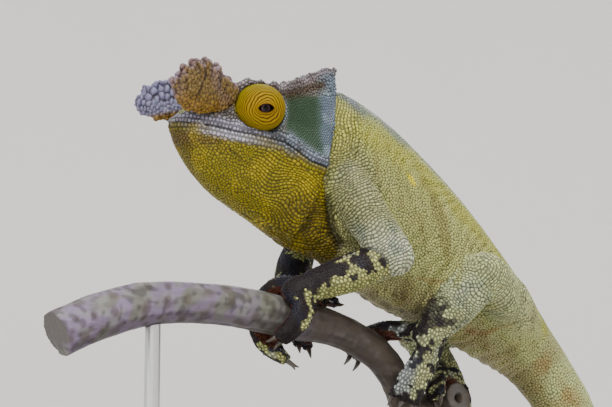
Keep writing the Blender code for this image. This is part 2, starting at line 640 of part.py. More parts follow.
def tail_ring(fraction, shift=0.0):
    s, rows = tail_line()
    x, z, cx, cz, high, wide = [np.interp(fraction * TAIL_LENGTH, s, column) for column in rows.T]
    ahead, up = unit([cx, cz]), unit([-cz, cx])
    centre = np.array([x, z]) + ahead * shift
    return oval(centre + up * high, centre - up * high, wide, TAIL_SIDES)


def resample_ring(ring, count):
    """The same closed outline with another count of corners, starting at its top."""
    closed = np.vstack([ring, ring[:1]])
    at = np.linspace(0, len(ring), count, endpoint=False)
    return np.stack([np.interp(at, np.arange(len(closed)), column) for column in closed.T], axis=1)


def make_trunk():
    """Neck, torso and the tail's lengths, a gap apart. It gives back the whole trunk, to cut limbs by."""
    last = float(len(TRUNK))
    half = GAP / 2

    def rings(start, end, first_shift, last_shift):
        at = np.linspace(start, end, round((end - start) * TRUNK_RINGS_PER_STATION) + 1)
        shifts = [first_shift] + [0.0] * (len(at) - 2) + [last_shift]
        return [trunk_ring(t, shift) for t, shift in zip(at, shifts)]

    loft("neck", rings(0, NECK_STATION, 0, -half), body, "skin_green")
    loft("torso", rings(NECK_STATION, TORSO_STATION, half, -half), body, "skin_green")
    root = [resample_ring(ring, TAIL_SIDES) for ring in rings(TORSO_STATION, last, half, 0)]
    every = np.linspace(0, 1, TAIL_RINGS + 1)
    cuts = [0.0, *TAIL_CUTS, 1.0]
    for i, (start, end) in enumerate(zip(cuts, cuts[1:])):
        first = [tail_ring(start, half)] if i else root
        inside = [tail_ring(f) for f in every if start + TAIL_CLEAR < f < end - TAIL_CLEAR]
        last_ring = tail_ring(end, -half if end < 1 else 0.0)
        loft(f"tail_{i + 1}", [*first, *inside, last_ring], body, "skin_green")
    return loft("trunk_room", rings(0, last, 0, 0), cutters)


# Branch

def branch_shape(name, stops, rings, group, finish=None):
    path = smooth_path(stops, rings)
    _, sideways, up = frames(path[:, :3], (0, -1, 0))
    turn = np.arange(BRANCH_SIDES) * 2 * math.pi / BRANCH_SIDES
    wander = np.zeros((rings, BRANCH_SIDES))
    for _ in range(BARK_WAVES):
        lobes = draw.randint(*BARK_LOBES)
        drift = draw.uniform(*BARK_DRIFT) * np.arange(rings)
        wander += np.cos(lobes * turn[None] + drift[:, None] + draw.uniform(0, 2 * math.pi))
    wander *= BRANCH_UNEVEN / 2
    skins = [p[:3] + p[3] * (1 + w)[:, None] * (np.cos(turn)[:, None] * u + np.sin(turn)[:, None] * s)
             for p, s, u, w in zip(path, sideways, up, wander)]
    return loft(name, skins, group, finish)


def make_branch():
    """The branch with its hollow stub. It gives back a copy swollen by a gap, to cut feet and rods by."""
    branch = branch_shape("branch", BRANCH, BRANCH_RINGS, body, "bark")
    stub = branch_shape("stub", STUB, STUB_RINGS, cutters)
    end, before = np.array(STUB[-1][:3]), np.array(STUB[-2][:3])
    inward = unit(before - end)
    mouth, foot, depth = STUB_PITH
    stops = [(*(end - inward * PITH_PROUD), mouth), (*(end + inward * depth), foot)]
    boolean(branch, "UNION", [stub])
    branch_room = swollen(branch)
    boolean(branch, "DIFFERENCE", [tube("pith", stops, PITH_SIDES, PALM_RING_EVERY, cutters)])
    return branch_room


def grip_point(on, along, around, lift):
    """A place by its distance along a branch, degrees round from its top, and height over the bark."""
    path = smooth_path(PERCH[on], LINE_SAMPLES)
    run = np.concatenate([[0], np.cumsum(np.linalg.norm(np.diff(path[:, :3], axis=0), axis=1))])
    centre = np.array([np.interp(along, run, path[:, k]) for k in range(3)])
    forward = unit(np.array([np.interp(along, run, c) for c in np.gradient(path[:, :3], axis=0).T]))
    up = unit(np.array([0, 0, 1.0]) - forward * forward[2])
    side = np.cross(forward, up)
    angle = math.radians(around)
    reach = np.interp(along, run, path[:, 3]) + lift
    return centre + reach * (math.cos(angle) * up + math.sin(angle) * side)


# Limbs and feet

def make_limb(upper, lower, stops, trunk_room):
    """Two nodes that meet at the bend: the lower one is cut back round the upper one's rounded end."""
    first = tube(upper, stops[:LIMB_BEND + 1], LIMB_SIDES, LIMB_RING_EVERY, body, "skin_limb")
    (*bend, radius), *rest = stops[LIMB_BEND:]
    second = tube(lower, [(*bend, radius - BEND_STEP), *rest], LIMB_SIDES, LIMB_RING_EVERY, body, "skin_limb")
    upper_room, lower_room = swollen(first), swollen(second)
    boolean(first, "DIFFERENCE", [swollen(trunk_room)])
    boolean(second, "DIFFERENCE", [upper_room, swollen(trunk_room)])
    return lower_room


def bundle_line(foot, stops):
    """The middle line of a bundle of toes, and the direction across it over the bark."""
    line = smooth_path([grip_point(foot["on"], foot["grip"] + along, around, lift)
                        for along, around, lift in stops], TOE_POINTS)
    core = smooth_path(PERCH[foot["on"]], LINE_SAMPLES)[:, :3]
    apart = line[:, None] - core[None]
    outward = apart[np.arange(TOE_POINTS), np.argmin(np.linalg.norm(apart, axis=2), axis=1)]
    return line, unit(np.cross(np.gradient(line, axis=0), outward))


def make_foot(name, limb_room, branch_room):
    """A palm with its toes in one node, cut back round the limb and the bark, and a claw for each toe."""
    foot = FEET[name]
    palm = tube(name, foot["palm"], LIMB_SIDES, PALM_RING_EVERY, body, "skin_limb")
    spread = np.linspace(*TOE_SPREAD, TOE_POINTS)[:, None]
    radii = np.linspace(*TOE_RADIUS, TOE_POINTS)
    toes = []
    for number, stops in (foot["outer"], foot["inner"]):
        middle, across = bundle_line(foot, stops)
        for i in range(number):
            line = middle + across * spread * (i - (number - 1) / 2) * TOE_SPACING
            stops = np.column_stack([line, radii])[::TOE_KEPT]
            toes.append(tube("toe", stops, TOE_SIDES, TOE_RING_EVERY, cutters, domes=(True, False)))
            make_claw(f"claw_{name}_{len(toes)}", line)
    boolean(palm, "UNION", toes)
    boolean(palm, "DIFFERENCE", [limb_room, swollen(branch_room, 0.0)])


def make_claw(name, line):
    """A small curved claw that carries a toe's line on, a gap beyond its flat end."""
    ahead = unit(line[-1] - line[-3])
    inward = unit(line[-3] - 2 * line[-2] + line[-1])
    t = np.linspace(0, 1, CLAW_RINGS)
    points = line[-1] + np.outer(GAP + t * CLAW_LENGTH, ahead) + np.outer(CLAW_BEND * t**2, inward)
    radii = CLAW_RADIUS[0] + (CLAW_RADIUS[1] - CLAW_RADIUS[0]) * t**CLAW_TAPER
    forward = unit(np.gradient(points, axis=0))
    forward[0] = ahead
    side = unit(np.cross(ahead, inward))
    rings = [round_ring(p, side, np.cross(side, f), r, CLAW_SIDES) for p, f, r in zip(points, forward, radii)]
    loft(name, rings, body, "claw")


# Stand

def settle(thing, name, finish):
    """Name a primitive, move it to the part's collection and fix its size and place in its mesh."""
    bpy.ops.object.transform_apply(location=True, rotation=False, scale=True)
    thing.name = thing.data.name = name
    for group in list(thing.users_collection):
        group.objects.unlink(thing)
    body.objects.link(thing)
    thing.data.materials.append(finish_material(finish))
    return thing


def make_base():
    length, width, height = BASE_SIZE
    bpy.ops.mesh.primitive_cube_add(size=1, location=(0, 0, height / 2 * MM))
    bpy.context.object.scale = (length * MM, width * MM, height * MM)
    base = settle(bpy.context.object, "stand_base", "stand")
    shape = bmesh.new()
    shape.from_mesh(base.data)
    upright = [e for e in shape.edges if abs(e.verts[0].co.z - e.verts[1].co.z) > height / 2 * MM]
    bmesh.ops.bevel(shape, geom=upright, offset=BASE_CORNER * MM, segments=4, affect="EDGES", profile=0.5)
    rim = [e for e in shape.edges if min(v.co.z for v in e.verts) > height / 2 * MM]
    bmesh.ops.bevel(shape, geom=rim, offset=BASE_BEVEL * MM, segments=2, affect="EDGES", profile=0.5)
    shape.to_mesh(base.data)
    shape.free()


def make_rod(name, x, branch_room):
    """A rod from just over the base up to the branch, hollowed at its top to the bark."""
    line = smooth_path(BRANCH, LINE_SAMPLES)
    y, z, radius = [np.interp(x, line[:, 0], line[:, k]) for k in (1, 2, 3)]
    foot, top = BASE_SIZE[2] + GAP, z - radius + ROD_SINK + DATUM[2]
    bpy.ops.mesh.primitive_cylinder_add(
        vertices=ROD_SIDES, radius=ROD_RADIUS * MM, depth=(top - foot) * MM,
        location=((x + DATUM[0]) * MM, (y + DATUM[1]) * MM, (top + foot) / 2 * MM))
    boolean(settle(bpy.context.object, name, "rod"), "DIFFERENCE", [swollen(branch_room, 0.0)])


clear_scene()
body = new_collection("parsons_chameleon")
cutters = new_collection("cutters")

head_blank = make_head()
for word, side in SIDES.items():
    make_horn(word, side, head_blank)
trunk_room = make_trunk()
branch_room = make_branch()
for word in SIDES:
    arm_room = make_limb("upper_arm_" + word, "forearm_" + word, ARM[word], trunk_room)
    make_foot("hand_" + word, arm_room, branch_room)
    leg_room = make_limb("thigh_" + word, "shin_" + word, LEG[word], trunk_room)
    make_foot("foot_" + word, leg_room, branch_room)
make_base()
for name, x in ROD_AT.items():
    make_rod(name, x, branch_room)

for spare in list(cutters.objects):
    bpy.data.objects.remove(spare, do_unlink=True)
bpy.data.collections.remove(cutters)
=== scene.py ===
import json
import math

import bmesh
import bpy
import numpy as np
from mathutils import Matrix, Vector
from mathutils.bvhtree import BVHTree
from mathutils.kdtree import KDTree


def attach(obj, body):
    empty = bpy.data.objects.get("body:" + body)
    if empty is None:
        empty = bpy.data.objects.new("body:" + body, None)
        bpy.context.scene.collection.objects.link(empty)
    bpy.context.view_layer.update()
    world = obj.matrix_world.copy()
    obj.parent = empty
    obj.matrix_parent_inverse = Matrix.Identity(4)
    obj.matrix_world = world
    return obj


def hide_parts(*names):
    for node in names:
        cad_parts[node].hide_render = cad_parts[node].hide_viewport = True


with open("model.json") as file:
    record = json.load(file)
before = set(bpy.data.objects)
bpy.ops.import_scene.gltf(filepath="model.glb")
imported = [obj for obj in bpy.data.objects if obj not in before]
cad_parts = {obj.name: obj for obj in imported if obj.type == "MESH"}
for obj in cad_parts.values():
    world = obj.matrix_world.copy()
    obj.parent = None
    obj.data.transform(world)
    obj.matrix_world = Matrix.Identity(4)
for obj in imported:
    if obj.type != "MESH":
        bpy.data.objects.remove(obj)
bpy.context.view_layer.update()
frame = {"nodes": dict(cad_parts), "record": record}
bpy.ops.object.select_all(action="DESELECT")

nodes = frame["nodes"]
slotOf = {row["node"]: row["material_slot"] for row in frame["record"]["subparts"]}
mm = 0.001
zero = np.array((-15.0, 0.0, 196.0))   # the animal's own zero, behind the jaw's corner, in the frame's mm
sides = {"Left": -1, "Right": 1}

# Lines on the head, as (x, out from the middle, z) in the animal's mm
headLines = {
    "mouth": [(-73, 0, 31.2), (-71.8, 3.6, 31), (-67.6, 8.3, 30.5), (-57.5, 12.4, 29.3), (-49.6, 14.9, 27.8),
              (-36.9, 17.6, 26.1), (-23.7, 19.6, 24), (-16.6, 20.6, 19.6), (-10.9, 21.1, 16.4),
              (-2, 21.3, 14.2)],
    "crest": [(-62, 8.0, 38.5), (-57, 10.0, 43.0), (-48, 12.4, 49.0), (-40, 14.6, 51.6), (-31, 16.2, 51.2),
              (-24, 16, 50.6), (-18, 15.2, 53.4), (-9, 12.8, 57.4), (2, 9, 62.2), (9.5, 6.4, 65.2),
              (14.1, 4.2, 64.8)],
    "band": [(-31, 15.2, 45.4), (-23, 15.8, 47.0), (-15, 15.4, 49.6), (-5.5, 13.4, 52.6), (2, 11.2, 55.0)],
    "cheekFold": [(-62, 10, 26.6), (-57, 12, 24.2), (-51, 14, 20.2), (-47, 14, 17), (-43, 15, 14),
                  (-38, 15, 11.6), (-31, 16, 9.2)],
    "throat": [(-71.8, 0, 29.0), (-64, 0, 15.2), (-58.8, 0, 8.8), (-52.7, 0, 2.8), (-40.5, 0, -4.8),
               (-26.7, 0, -12), (-12.4, 0, -20.8)],
}
rearFace = {"x": 4.0, "z": 32.0, "lean": 0.31}      # the head's rear face, which leans back

# The spine's middle line, as (x, z, half-height), and the tail's curl beyond it
spine = [(9, 17, 39), (11.5, 15.2, 40), (24, 9.8, 41), (38, 1.5, 41), (52.7, -8, 39), (67, -16.7, 36),
         (81.4, -25.4, 32), (95.3, -34.8, 28), (107.7, -44.5, 25), (120, -54, 22), (132.5, -64, 18.5),
         (144.5, -76, 16.5), (156.8, -90.5, 16.2)]
tail = {"length": 186.0, "heading": -52.0, "bend": (1 / 78, 1 / 8), "root": 16.2, "tip": 1.7, "taper": 0.86}

eye = {"seat": (-34.2, 13.4, 39.8), "apex": (-37.4, 25.2, 37.4), "radius": 11.2, "ball": 4.4, "lid": 1.3,
       "slit": (1.0, 0.0, 0.14), "opening": (3.8, 2.1)}


# Numbers and places

def toFrame(p):
    return (np.asarray(p, float) + zero) * mm


def toAnimal(co):
    return np.asarray(co, float) / mm - zero


def unit(v):
    v = np.asarray(v, float)
    return v / np.maximum(np.linalg.norm(v, axis=-1, keepdims=True), 1e-9)


def ease(low, high, x):
    t = np.clip((x - low) / (high - low), 0, 1)
    return t * t * (3 - 2 * t)


def near(x, width):      # 1 where x is 0, fading over a few widths
    return np.exp(-(x / width) ** 2)


def wander(p, size, key, waves=9):      # smooth noise of about -1 to 1, in lumps of about size mm
    draw = np.random.default_rng(key)
    total = np.zeros(len(p))
    for _ in range(waves):
        ahead = unit(draw.normal(size=3)) * 2 * math.pi / (size * draw.uniform(1.3, 3.0))
        total += np.sin(p @ ahead + draw.uniform(0, 2 * math.pi))
    return total * 0.9 / math.sqrt(waves)


strength = 0.56          # how much of a picked colour's light the paint gives back under these lamps


def tone(r, g, b):       # a picked screen colour, as paint, with brighter ones made fuller for the view
    c = np.array((r, g, b)) / 255
    c = np.where(c <= 0.04045, c / 12.92, ((c + 0.055) / 1.055) ** 2.4)
    grey = c @ (0.21, 0.72, 0.07)
    return strength * np.maximum(grey + (c - grey) * (1.05 + 0.5 * grey), 0.001)


def picked(colours):     # named screen colours, as paint
    return {name: tone(*colour) for name, colour in colours.items()}


def layered(colour, *layers):    # colours or named tones laid one over another, each with its share
    colour = tones[colour] if isinstance(colour, str) else colour
    for new, share in layers:
        new = tones[new] if isinstance(new, str) else new
        colour = colour + (new - colour) * np.clip(share, 0, 1)[:, None]
    return colour


def pleats(phase, sharp):        # 0 where the phase is a whole number and 1 half-way between
    return np.abs(np.sin(math.pi * phase)) ** sharp


def mirrored(p):         # the same places, with y as the distance out from the middle
    return np.column_stack([p[:, 0], np.abs(p[:, 1]), p[:, 2]])


def fromEye(p):          # how far places lie outside the ball that an eye turret fills
    return np.linalg.norm(mirrored(p) - np.array(eye["seat"]), axis=1) - eye["radius"]


def runOf(line):         # the length of a line up to each of its places
    return np.concatenate([[0], np.cumsum(np.linalg.norm(np.diff(line, axis=0), axis=1))])


def toLine(p, line, deep=1):     # distance to a line on either flank, share of its length, and height over it
    stops = np.array(line, float) * (1, deep, 1)
    q = mirrored(p) * (1, deep, 1)
    run = runOf(stops)
    best, share, height = np.full(len(q), 1e9), np.zeros(len(q)), np.zeros(len(q))
    for i, step in enumerate(np.diff(stops, axis=0)):
        t = np.clip((q - stops[i]) @ step / (step @ step), 0, 1)
        gap = q - stops[i] - t[:, None] * step
        distance = np.linalg.norm(gap, axis=1)
        closer = distance < best
        best[closer] = distance[closer]
        share[closer] = (run[i] + t[closer] * np.linalg.norm(step)) / run[-1]
        height[closer] = gap[closer, 2]
    return best, share, height


def treeOf(places):
    tree = KDTree(len(places))
    for i, place in enumerate(places):
        tree.insert(place, i)
    tree.balance()
    return tree


# Meshes

def gathered(items, key, width, kind=np.float32):
    values = np.empty(len(items) * width, kind)
    items.foreach_get(key, values)
    return values.reshape(-1, width)


def readMesh(obj):
    return toAnimal(gathered(obj.data.vertices, "co", 3))


def writeMesh(obj, p):
    obj.data.vertices.foreach_set("co", toFrame(p).astype(np.float32).ravel())
    obj.data.update()


def normalsOf(obj):
    return gathered(obj.data.vertex_normals, "vector", 3).astype(float)


def edgesOf(obj):
    return gathered(obj.data.edges, "vertices", 2, np.int32)


def trianglesOf(obj):
    obj.data.calc_loop_triangles()
    return gathered(obj.data.loop_triangles, "vertices", 3, np.int32)


def newObject(name, data):
    obj = bpy.data.objects.new(name, data)
    bpy.context.scene.collection.objects.link(obj)
    return obj


def newMesh(name, p, faces):     # a mesh from places in the animal's mm and faces of one count of corners
    mesh = bpy.data.meshes.new(name)
    faces = np.asarray(faces, np.int32)
    mesh.vertices.add(len(p))
    mesh.vertices.foreach_set("co", toFrame(p).astype(np.float32).ravel())
    mesh.loops.add(faces.size)
    mesh.loops.foreach_set("vertex_index", faces.ravel())
    mesh.polygons.add(len(faces))
    mesh.polygons.foreach_set("loop_start", np.arange(len(faces), dtype=np.int32) * faces.shape[1])
    mesh.update(calc_edges=True)
    mesh.shade_smooth()
    return newObject(name, mesh)


def paintMesh(obj, colour):
    layer = obj.data.color_attributes.new("paint", "FLOAT_COLOR", "POINT")
    rgba = np.ones((len(colour), 4), np.float32)
    rgba[:, :3] = np.clip(colour, 0, 1)
    layer.data.foreach_set("color", rgba.ravel())


# Rates for spread, which draw a form in and then let most of it out again, so that it keeps its size
rounding = {"skin": (0.55, -0.53), "hard": (0.5, -0.48)}


def spread(values, edges, rounds, rates=(0.5,)):     # each value drawn towards its neighbours' mean
    a, b = edges.T
    count = np.bincount(edges.ravel(), minlength=len(values))[:, None]
    for i in range(rounds):
        sums = [np.bincount(a, c[b], len(c)) + np.bincount(b, c[a], len(c)) for c in values.T]
        values = values + rates[i % len(rates)] * (np.column_stack(sums) / count - values)
    return values


def only(obj):
    bpy.ops.object.select_all(action="DESELECT")
    obj.select_set(True)
    bpy.context.view_layer.objects.active = obj


def applied(obj, kind, **settings):
    only(obj)
    bpy.ops.object.modifier_add(type=kind)
    modifier = obj.modifiers[-1]
    for name, value in settings.items():
        setattr(modifier, name, value)
    bpy.ops.object.modifier_apply(modifier=modifier.name)


def castOf(names, puff=0.0):     # joined, merged copies of CAD nodes, puffed out by some mm
    copies = []
    for name in names:
        obj = newObject(name + "Cast", nodes[name].data.copy())
        shape = bmesh.new()
        shape.from_mesh(obj.data)
        bmesh.ops.remove_doubles(shape, verts=shape.verts, dist=0.01 * mm)
        shape.normal_update()
        for vertex in shape.verts:
            vertex.co += vertex.normal * puff * mm
        shape.to_mesh(obj.data)
        shape.free()
        copies.append(obj)
    only(copies[0])
    for obj in copies:
        obj.select_set(True)
    if len(copies) > 1:
        bpy.ops.object.join()
    copies[0].data.materials.clear()
    return copies[0]


def voxelCast(name, names, puff, voxel):
    obj = castOf(names, puff)
    applied(obj, "REMESH", mode="VOXEL", voxel_size=voxel * mm, use_smooth_shade=True)
    obj.name = obj.data.name = name
    return obj


def kept(obj, slot, *replaced):
    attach(obj, "root")
    if replaced:
        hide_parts(*replaced)
    return obj


# Materials

class Value:
    def __init__(self, finish, socket):
        self.finish, self.socket = finish, socket

    def math(self, operation, other, swap=False):
        first, second = (other, self) if swap else (self, other)
        return self.finish.node("ShaderNodeMath", {"operation": operation}, {0: first, 1: second})

    def __add__(self, other):
        return self.math("ADD", other)

    def __sub__(self, other):
        return self.math("SUBTRACT", other)

    def __rsub__(self, other):
        return self.math("SUBTRACT", other, True)

    def __mul__(self, other):
        return self.math("MULTIPLY", other)

    __radd__ = __add__
    __rmul__ = __mul__


class Finish:
    def __init__(self, name, **shader):
        self.material = bpy.data.materials.new(name)
        self.material.use_nodes = True
        self.tree = self.material.node_tree
        self.shader = self.tree.nodes["Principled BSDF"]
        for socket, value in shader.items():
            self.feed(socket.replace("_", " "), value)

    def node(self, kind, settings=None, inputs=None, out=0):
        node = self.tree.nodes.new(kind)
        for name, value in (settings or {}).items():
            setattr(node, name, value)
        for name, value in (inputs or {}).items():
            self.join(node.inputs[name], value)
        return Value(self, node.outputs[out])

    def join(self, socket, value):
        if isinstance(value, Value):
            self.tree.links.new(value.socket, socket)
        elif hasattr(value, "__len__") and len(value) == 3 and socket.type == "RGBA":
            socket.default_value = (*value, 1.0)
        else:
            socket.default_value = value

    def feed(self, socket, value):
        self.join(self.shader.inputs[socket], value)

    def place(self, scale=(1, 1, 1)):
        at = self.node("ShaderNodeTexCoord", out="Object")
        return self.node("ShaderNodeMapping", inputs={"Vector": at, "Scale": scale})

    def noise(self, size, detail=3.0, rough=0.55, scale=(1, 1, 1)):      # lumps of about size mm, 0 to 1
        return self.node("ShaderNodeTexNoise", inputs={
            "Vector": self.place(scale), "Scale": 1 / (size * mm), "Detail": detail, "Roughness": rough})

    def attribute(self):
        return self.node("ShaderNodeAttribute", {"attribute_name": "paint"}, out="Color")

    def mix(self, share, first, second, blend="MIX"):
        settings = {"data_type": "RGBA", "blend_type": blend}
        return self.node("ShaderNodeMix", settings, {0: share, 6: first, 7: second}, out=2)

    def shaded(self, grey):      # the painted colour, made lighter and darker by a grey value
        shade = self.node("ShaderNodeCombineColor", inputs={0: grey, 1: grey, 2: grey})
        self.feed("Base Color", self.mix(1.0, self.attribute(), shade, "MULTIPLY"))

    def bump(self, height, distance, strength=1.0):
        self.feed("Normal", self.node("ShaderNodeBump", inputs={
            "Height": height, "Distance": distance * mm, "Strength": strength}, out="Normal"))


# Sizes in mm and strengths of what is too fine to model on a scale
scaleGrain = {"blotch": 2.2, "fine": 0.24, "gloss": 0.9, "uneven": 0.22, "deep": 0.05, "strength": 0.7}


def scaleFinish(name, rough, mottle=0.18, grain=0.35, shine=0.22):
    finish = Finish(name, Specular_IOR_Level=shine)
    blotch = finish.noise(scaleGrain["blotch"]) * mottle + (1 - mottle / 2)
    finish.shaded(blotch * (finish.noise(grain, 2.0) * scaleGrain["fine"] + (1 - scaleGrain["fine"] / 2)))
    gloss = finish.noise(scaleGrain["gloss"]) * scaleGrain["uneven"]
    finish.feed("Roughness", gloss + (rough - scaleGrain["uneven"] / 2))
    finish.bump(finish.noise(grain, 2.0), scaleGrain["deep"], scaleGrain["strength"])
    return finish.material


# Camera and light

camera = {"target": zero * mm, "turn": -33.0, "rise": -8.0, "away": 0.799, "lens": 100.0, "sensor": 36.0}
lamps = {   # place, size, watts, colour
    "keyLamp": ((-0.75, -0.95, 1.25), 0.55, 30.0, (1.0, 0.97, 0.91)),
    "topLamp": ((0.35, -0.15, 1.45), 0.6, 19.0, (1.0, 0.98, 0.95)),
    "fillLamp": ((-1.4, -0.6, 0.25), 0.9, 4.0, (0.92, 0.96, 1.0)),
    "rearLamp": ((0.8, 1.0, 0.9), 0.8, 12.0, (1.0, 0.98, 0.94)),
}
room = {"floor": 1.7, "steps": ((1.08, 0.05), (1.08, 0.15), (1.06, 0.35), (1.03, 0.7), (1.0, 1.3)),
        "colour": (0.80, 0.79, 0.77), "sky": (0.90, 0.93, 1.0), "glow": 0.9, "aim": (0, 0, 0.15)}


def makeCamera():
    turn, rise = math.radians(camera["turn"]), math.radians(camera["rise"])
    back = Vector((math.sin(turn) * math.cos(rise), -math.cos(turn) * math.cos(rise), math.sin(rise)))
    data = bpy.data.cameras.new("camera")
    data.lens, data.sensor_width = camera["lens"], camera["sensor"]
    data.clip_start = 0.01
    obj = newObject("camera", data)
    obj.location = Vector(camera["target"]) + back * camera["away"]
    obj.rotation_euler = back.to_track_quat("Z", "Y").to_euler()
    bpy.context.scene.camera = obj


def makeLights():
    for name, (place, size, watts, colour) in lamps.items():
        data = bpy.data.lights.new(name, "AREA")
        data.shape, data.size, data.energy, data.color = "DISK", size, watts, colour
        obj = newObject(name, data)
        obj.location = place
        obj.rotation_euler = (Vector(place) - Vector(room["aim"])).to_track_quat("Z", "Y").to_euler()
    world = bpy.data.worlds.new("studio")
    world.use_nodes = True
    world.node_tree.nodes["Background"].inputs["Color"].default_value = (*room["sky"], 1.0)
    world.node_tree.nodes["Background"].inputs["Strength"].default_value = room["glow"]
    bpy.context.scene.world = world


def makeFloor():     # a pale floor that curves up into a round wall, open above
    bpy.ops.mesh.primitive_circle_add(vertices=96, radius=room["floor"], fill_type="NOTHING")
    floor = bpy.context.object
    floor.name = floor.data.name = "floor"
    bpy.ops.object.mode_set(mode="EDIT")
    for grow, climb in room["steps"]:
        bpy.ops.mesh.extrude_region_move(TRANSFORM_OT_translate={"value": (0, 0, climb)})
        bpy.ops.transform.resize(value=(grow, grow, 1))
    bpy.ops.object.mode_set(mode="OBJECT")
    for edge in floor.data.edges:
        edge.select = all(abs(floor.data.vertices[i].co.z) < 1e-6 for i in edge.vertices)
    for vertex in floor.data.vertices:
        vertex.select = abs(vertex.co.z) < 1e-6
    bpy.ops.object.mode_set(mode="EDIT")
    bpy.ops.mesh.edge_face_add()
    bpy.ops.mesh.select_all(action="SELECT")
    bpy.ops.mesh.normals_make_consistent(inside=True)
    bpy.ops.object.mode_set(mode="OBJECT")
    bpy.ops.object.shade_smooth()
    paper = Finish("paper", Roughness=0.8)
    dull = tuple(0.97 * c for c in room["colour"])
    paper.feed("Base Color", paper.mix(paper.noise(180.0), dull, room["colour"]))
    paper.bump(paper.noise(3.0), 0.05, 0.15)
    floor.data.materials.append(paper.material)


# Skin

skin = {"puff": 0.35, "voxel": 0.82, "rounds": 26, "depth": 0.45, "hornDepth": 2.4, "blend": 6, "join": 16,
        "fill": 52, "share": 0.54}
fleshNodes = [n for n in nodes if slotOf[n] in ("skin_green", "skin_throat", "skin_limb")]
underNodes = fleshNodes + ["horn_left", "horn_right"]     # the horns' cores run on into the head
firmness = {"head": 0.22, "jaw": 0.3, "horn": 0.3, "hand": 0.35, "foot": 0.35}      # share of the smoothing


def labelOf(node):
    if node.startswith("tail"):
        return "tail"
    if node.startswith("horn"):
        return "horn"
    parts = node.split("_")
    return parts[0] + "".join(word.capitalize() for word in parts[1:])


labels = sorted({labelOf(n) for n in underNodes})


def nodeTree(*names):        # a search tree over CAD nodes, and the name of the node that has each face
    verts, faces, owner = [], [], []
    for name in names:
        start = len(verts)
        verts += [v.co.copy() for v in nodes[name].data.vertices]
        faces += [[start + i for i in f.vertices] for f in nodes[name].data.polygons]
        owner += [name] * len(nodes[name].data.polygons)
    return BVHTree.FromPolygons(verts, faces), owner


def firm(label):
    for word, share in firmness.items():
        if label.startswith(word):
            return share
    return 1.0


spineStep = 0.5      # mm from one place on the spine's line to the next


def spineLine():
    stops = np.array(spine, float)
    run = runOf(stops[:, :2])
    at = np.arange(0, run[-1], spineStep)
    trunk = np.column_stack([np.interp(at, run, c) for c in stops.T])
    s = np.arange(0, tail["length"], spineStep)
    growth = math.log(tail["bend"][1] / tail["bend"][0]) / tail["length"]
    heading = math.radians(tail["heading"]) - tail["bend"][0] / growth * (np.exp(growth * s) - 1)
    x = stops[-1, 0] + np.cumsum(np.cos(heading)) * spineStep
    z = stops[-1, 1] + np.cumsum(np.sin(heading)) * spineStep
    high = tail["tip"] + (tail["root"] - tail["tip"]) * (1 - s / tail["length"]) ** tail["taper"]
    line = np.vstack([trunk, np.column_stack([x, z, high])])
    return line, unit(np.gradient(line[:, :2], axis=0))


spinePlaces, spineAhead = spineLine()
spineTree = treeOf([(x, 0, z) for x, z, _ in spinePlaces])


def limbAxes():      # middle, direction from root to tip, and half-length of each limb piece
    found = {}
    for word in ("left", "right"):
        for chain in (("upper_arm", "forearm", "hand"), ("thigh", "shin", "foot")):
            names = [f"{piece}_{word}" for piece in chain]
            places = [toAnimal([v.co for v in nodes[name].data.vertices]) for name in names]
            middles = [p.mean(0) for p in places]
            for i, (name, p) in enumerate(zip(names, places)):
                axis = np.linalg.svd(p - middles[i], full_matrices=False)[2][0]
                ahead = middles[i + 1] - middles[i] if i < 2 else middles[i] - middles[i - 1]
                axis = axis if axis @ ahead > 0 else -axis
                found[labelOf(name)] = (middles[i], axis, np.ptp((p - middles[i]) @ axis) / 2)
    return found


limbs = limbAxes()


def survey(p):       # where places lie along the spine, from belly (-1) to back (1), and behind the head
    index = np.array([spineTree.find((x, 0, z))[1] for x, _, z in p])
    centre, ahead = spinePlaces[index], spineAhead[index]
    gap = p[:, [0, 2]] - centre[:, :2]
    up = np.column_stack([-ahead[:, 1], ahead[:, 0]])
    along = index * spineStep + (gap * ahead).sum(1)
    rise = (gap * up).sum(1) / centre[:, 2]
    behind = p[:, 0] - rearFace["x"] - rearFace["lean"] * (p[:, 2] - rearFace["z"])
    return along, rise, behind


def limbShare(p, label):     # from 0 at a limb piece's root to 1 at its tip
    middle, axis, half = limbs[label]
    return ((p - middle) @ axis / half + 1) / 2


def weightsOf(soft):
    return {label: soft[:, i] for i, label in enumerate(labels)}


folds = {    # (depth, width) of a single fold, and height and spacing of the pleats, in mm
    "mouth": (0.6, 0.45), "lipRidge": (0.2, 1.3), "cheek": (0.75, 0.8), "cheekRidge": (0.4, 1.6),
    "collar": (0.7, 1.6), "socket": (0.9, 1.1), "brow": (0.5, 1.8), "pit": (2.2, 1.8), "groin": (1.3, 1.6),
    "neck": 1.15, "neckEvery": 3.3, "jaw": 1.05, "jawEvery": 2.7, "arm": 1.0, "armEvery": 2.7,
    "body": 0.3, "bodyEvery": 6.0,
}

# The pit between jaw and arm, and the fold in front of the thigh
armpit = [(-1, 16, 8), (2, 15, 0), (4, 14, -8), (6.5, 13, -14), (11, 12, -20)]
groin = [(96, 25, -20), (85, 27, -23), (76, 27, -29), (70, 25, -35), (65, 22, -41)]


def onThroat(p):     # 1 on the neck in front of the dark line that runs down behind the jaw
    edge = np.interp(p[:, 2], [q[2] for q in reversed(armpit)], [q[0] for q in reversed(armpit)])
    return ease(0.8, -0.8, p[:, 0] - edge) * ease(13, 9, p[:, 2])


def fold(name, gap):     # one fold's depth at some distance from its middle line
    depth, width = folds[name]
    return depth * near(gap, width)


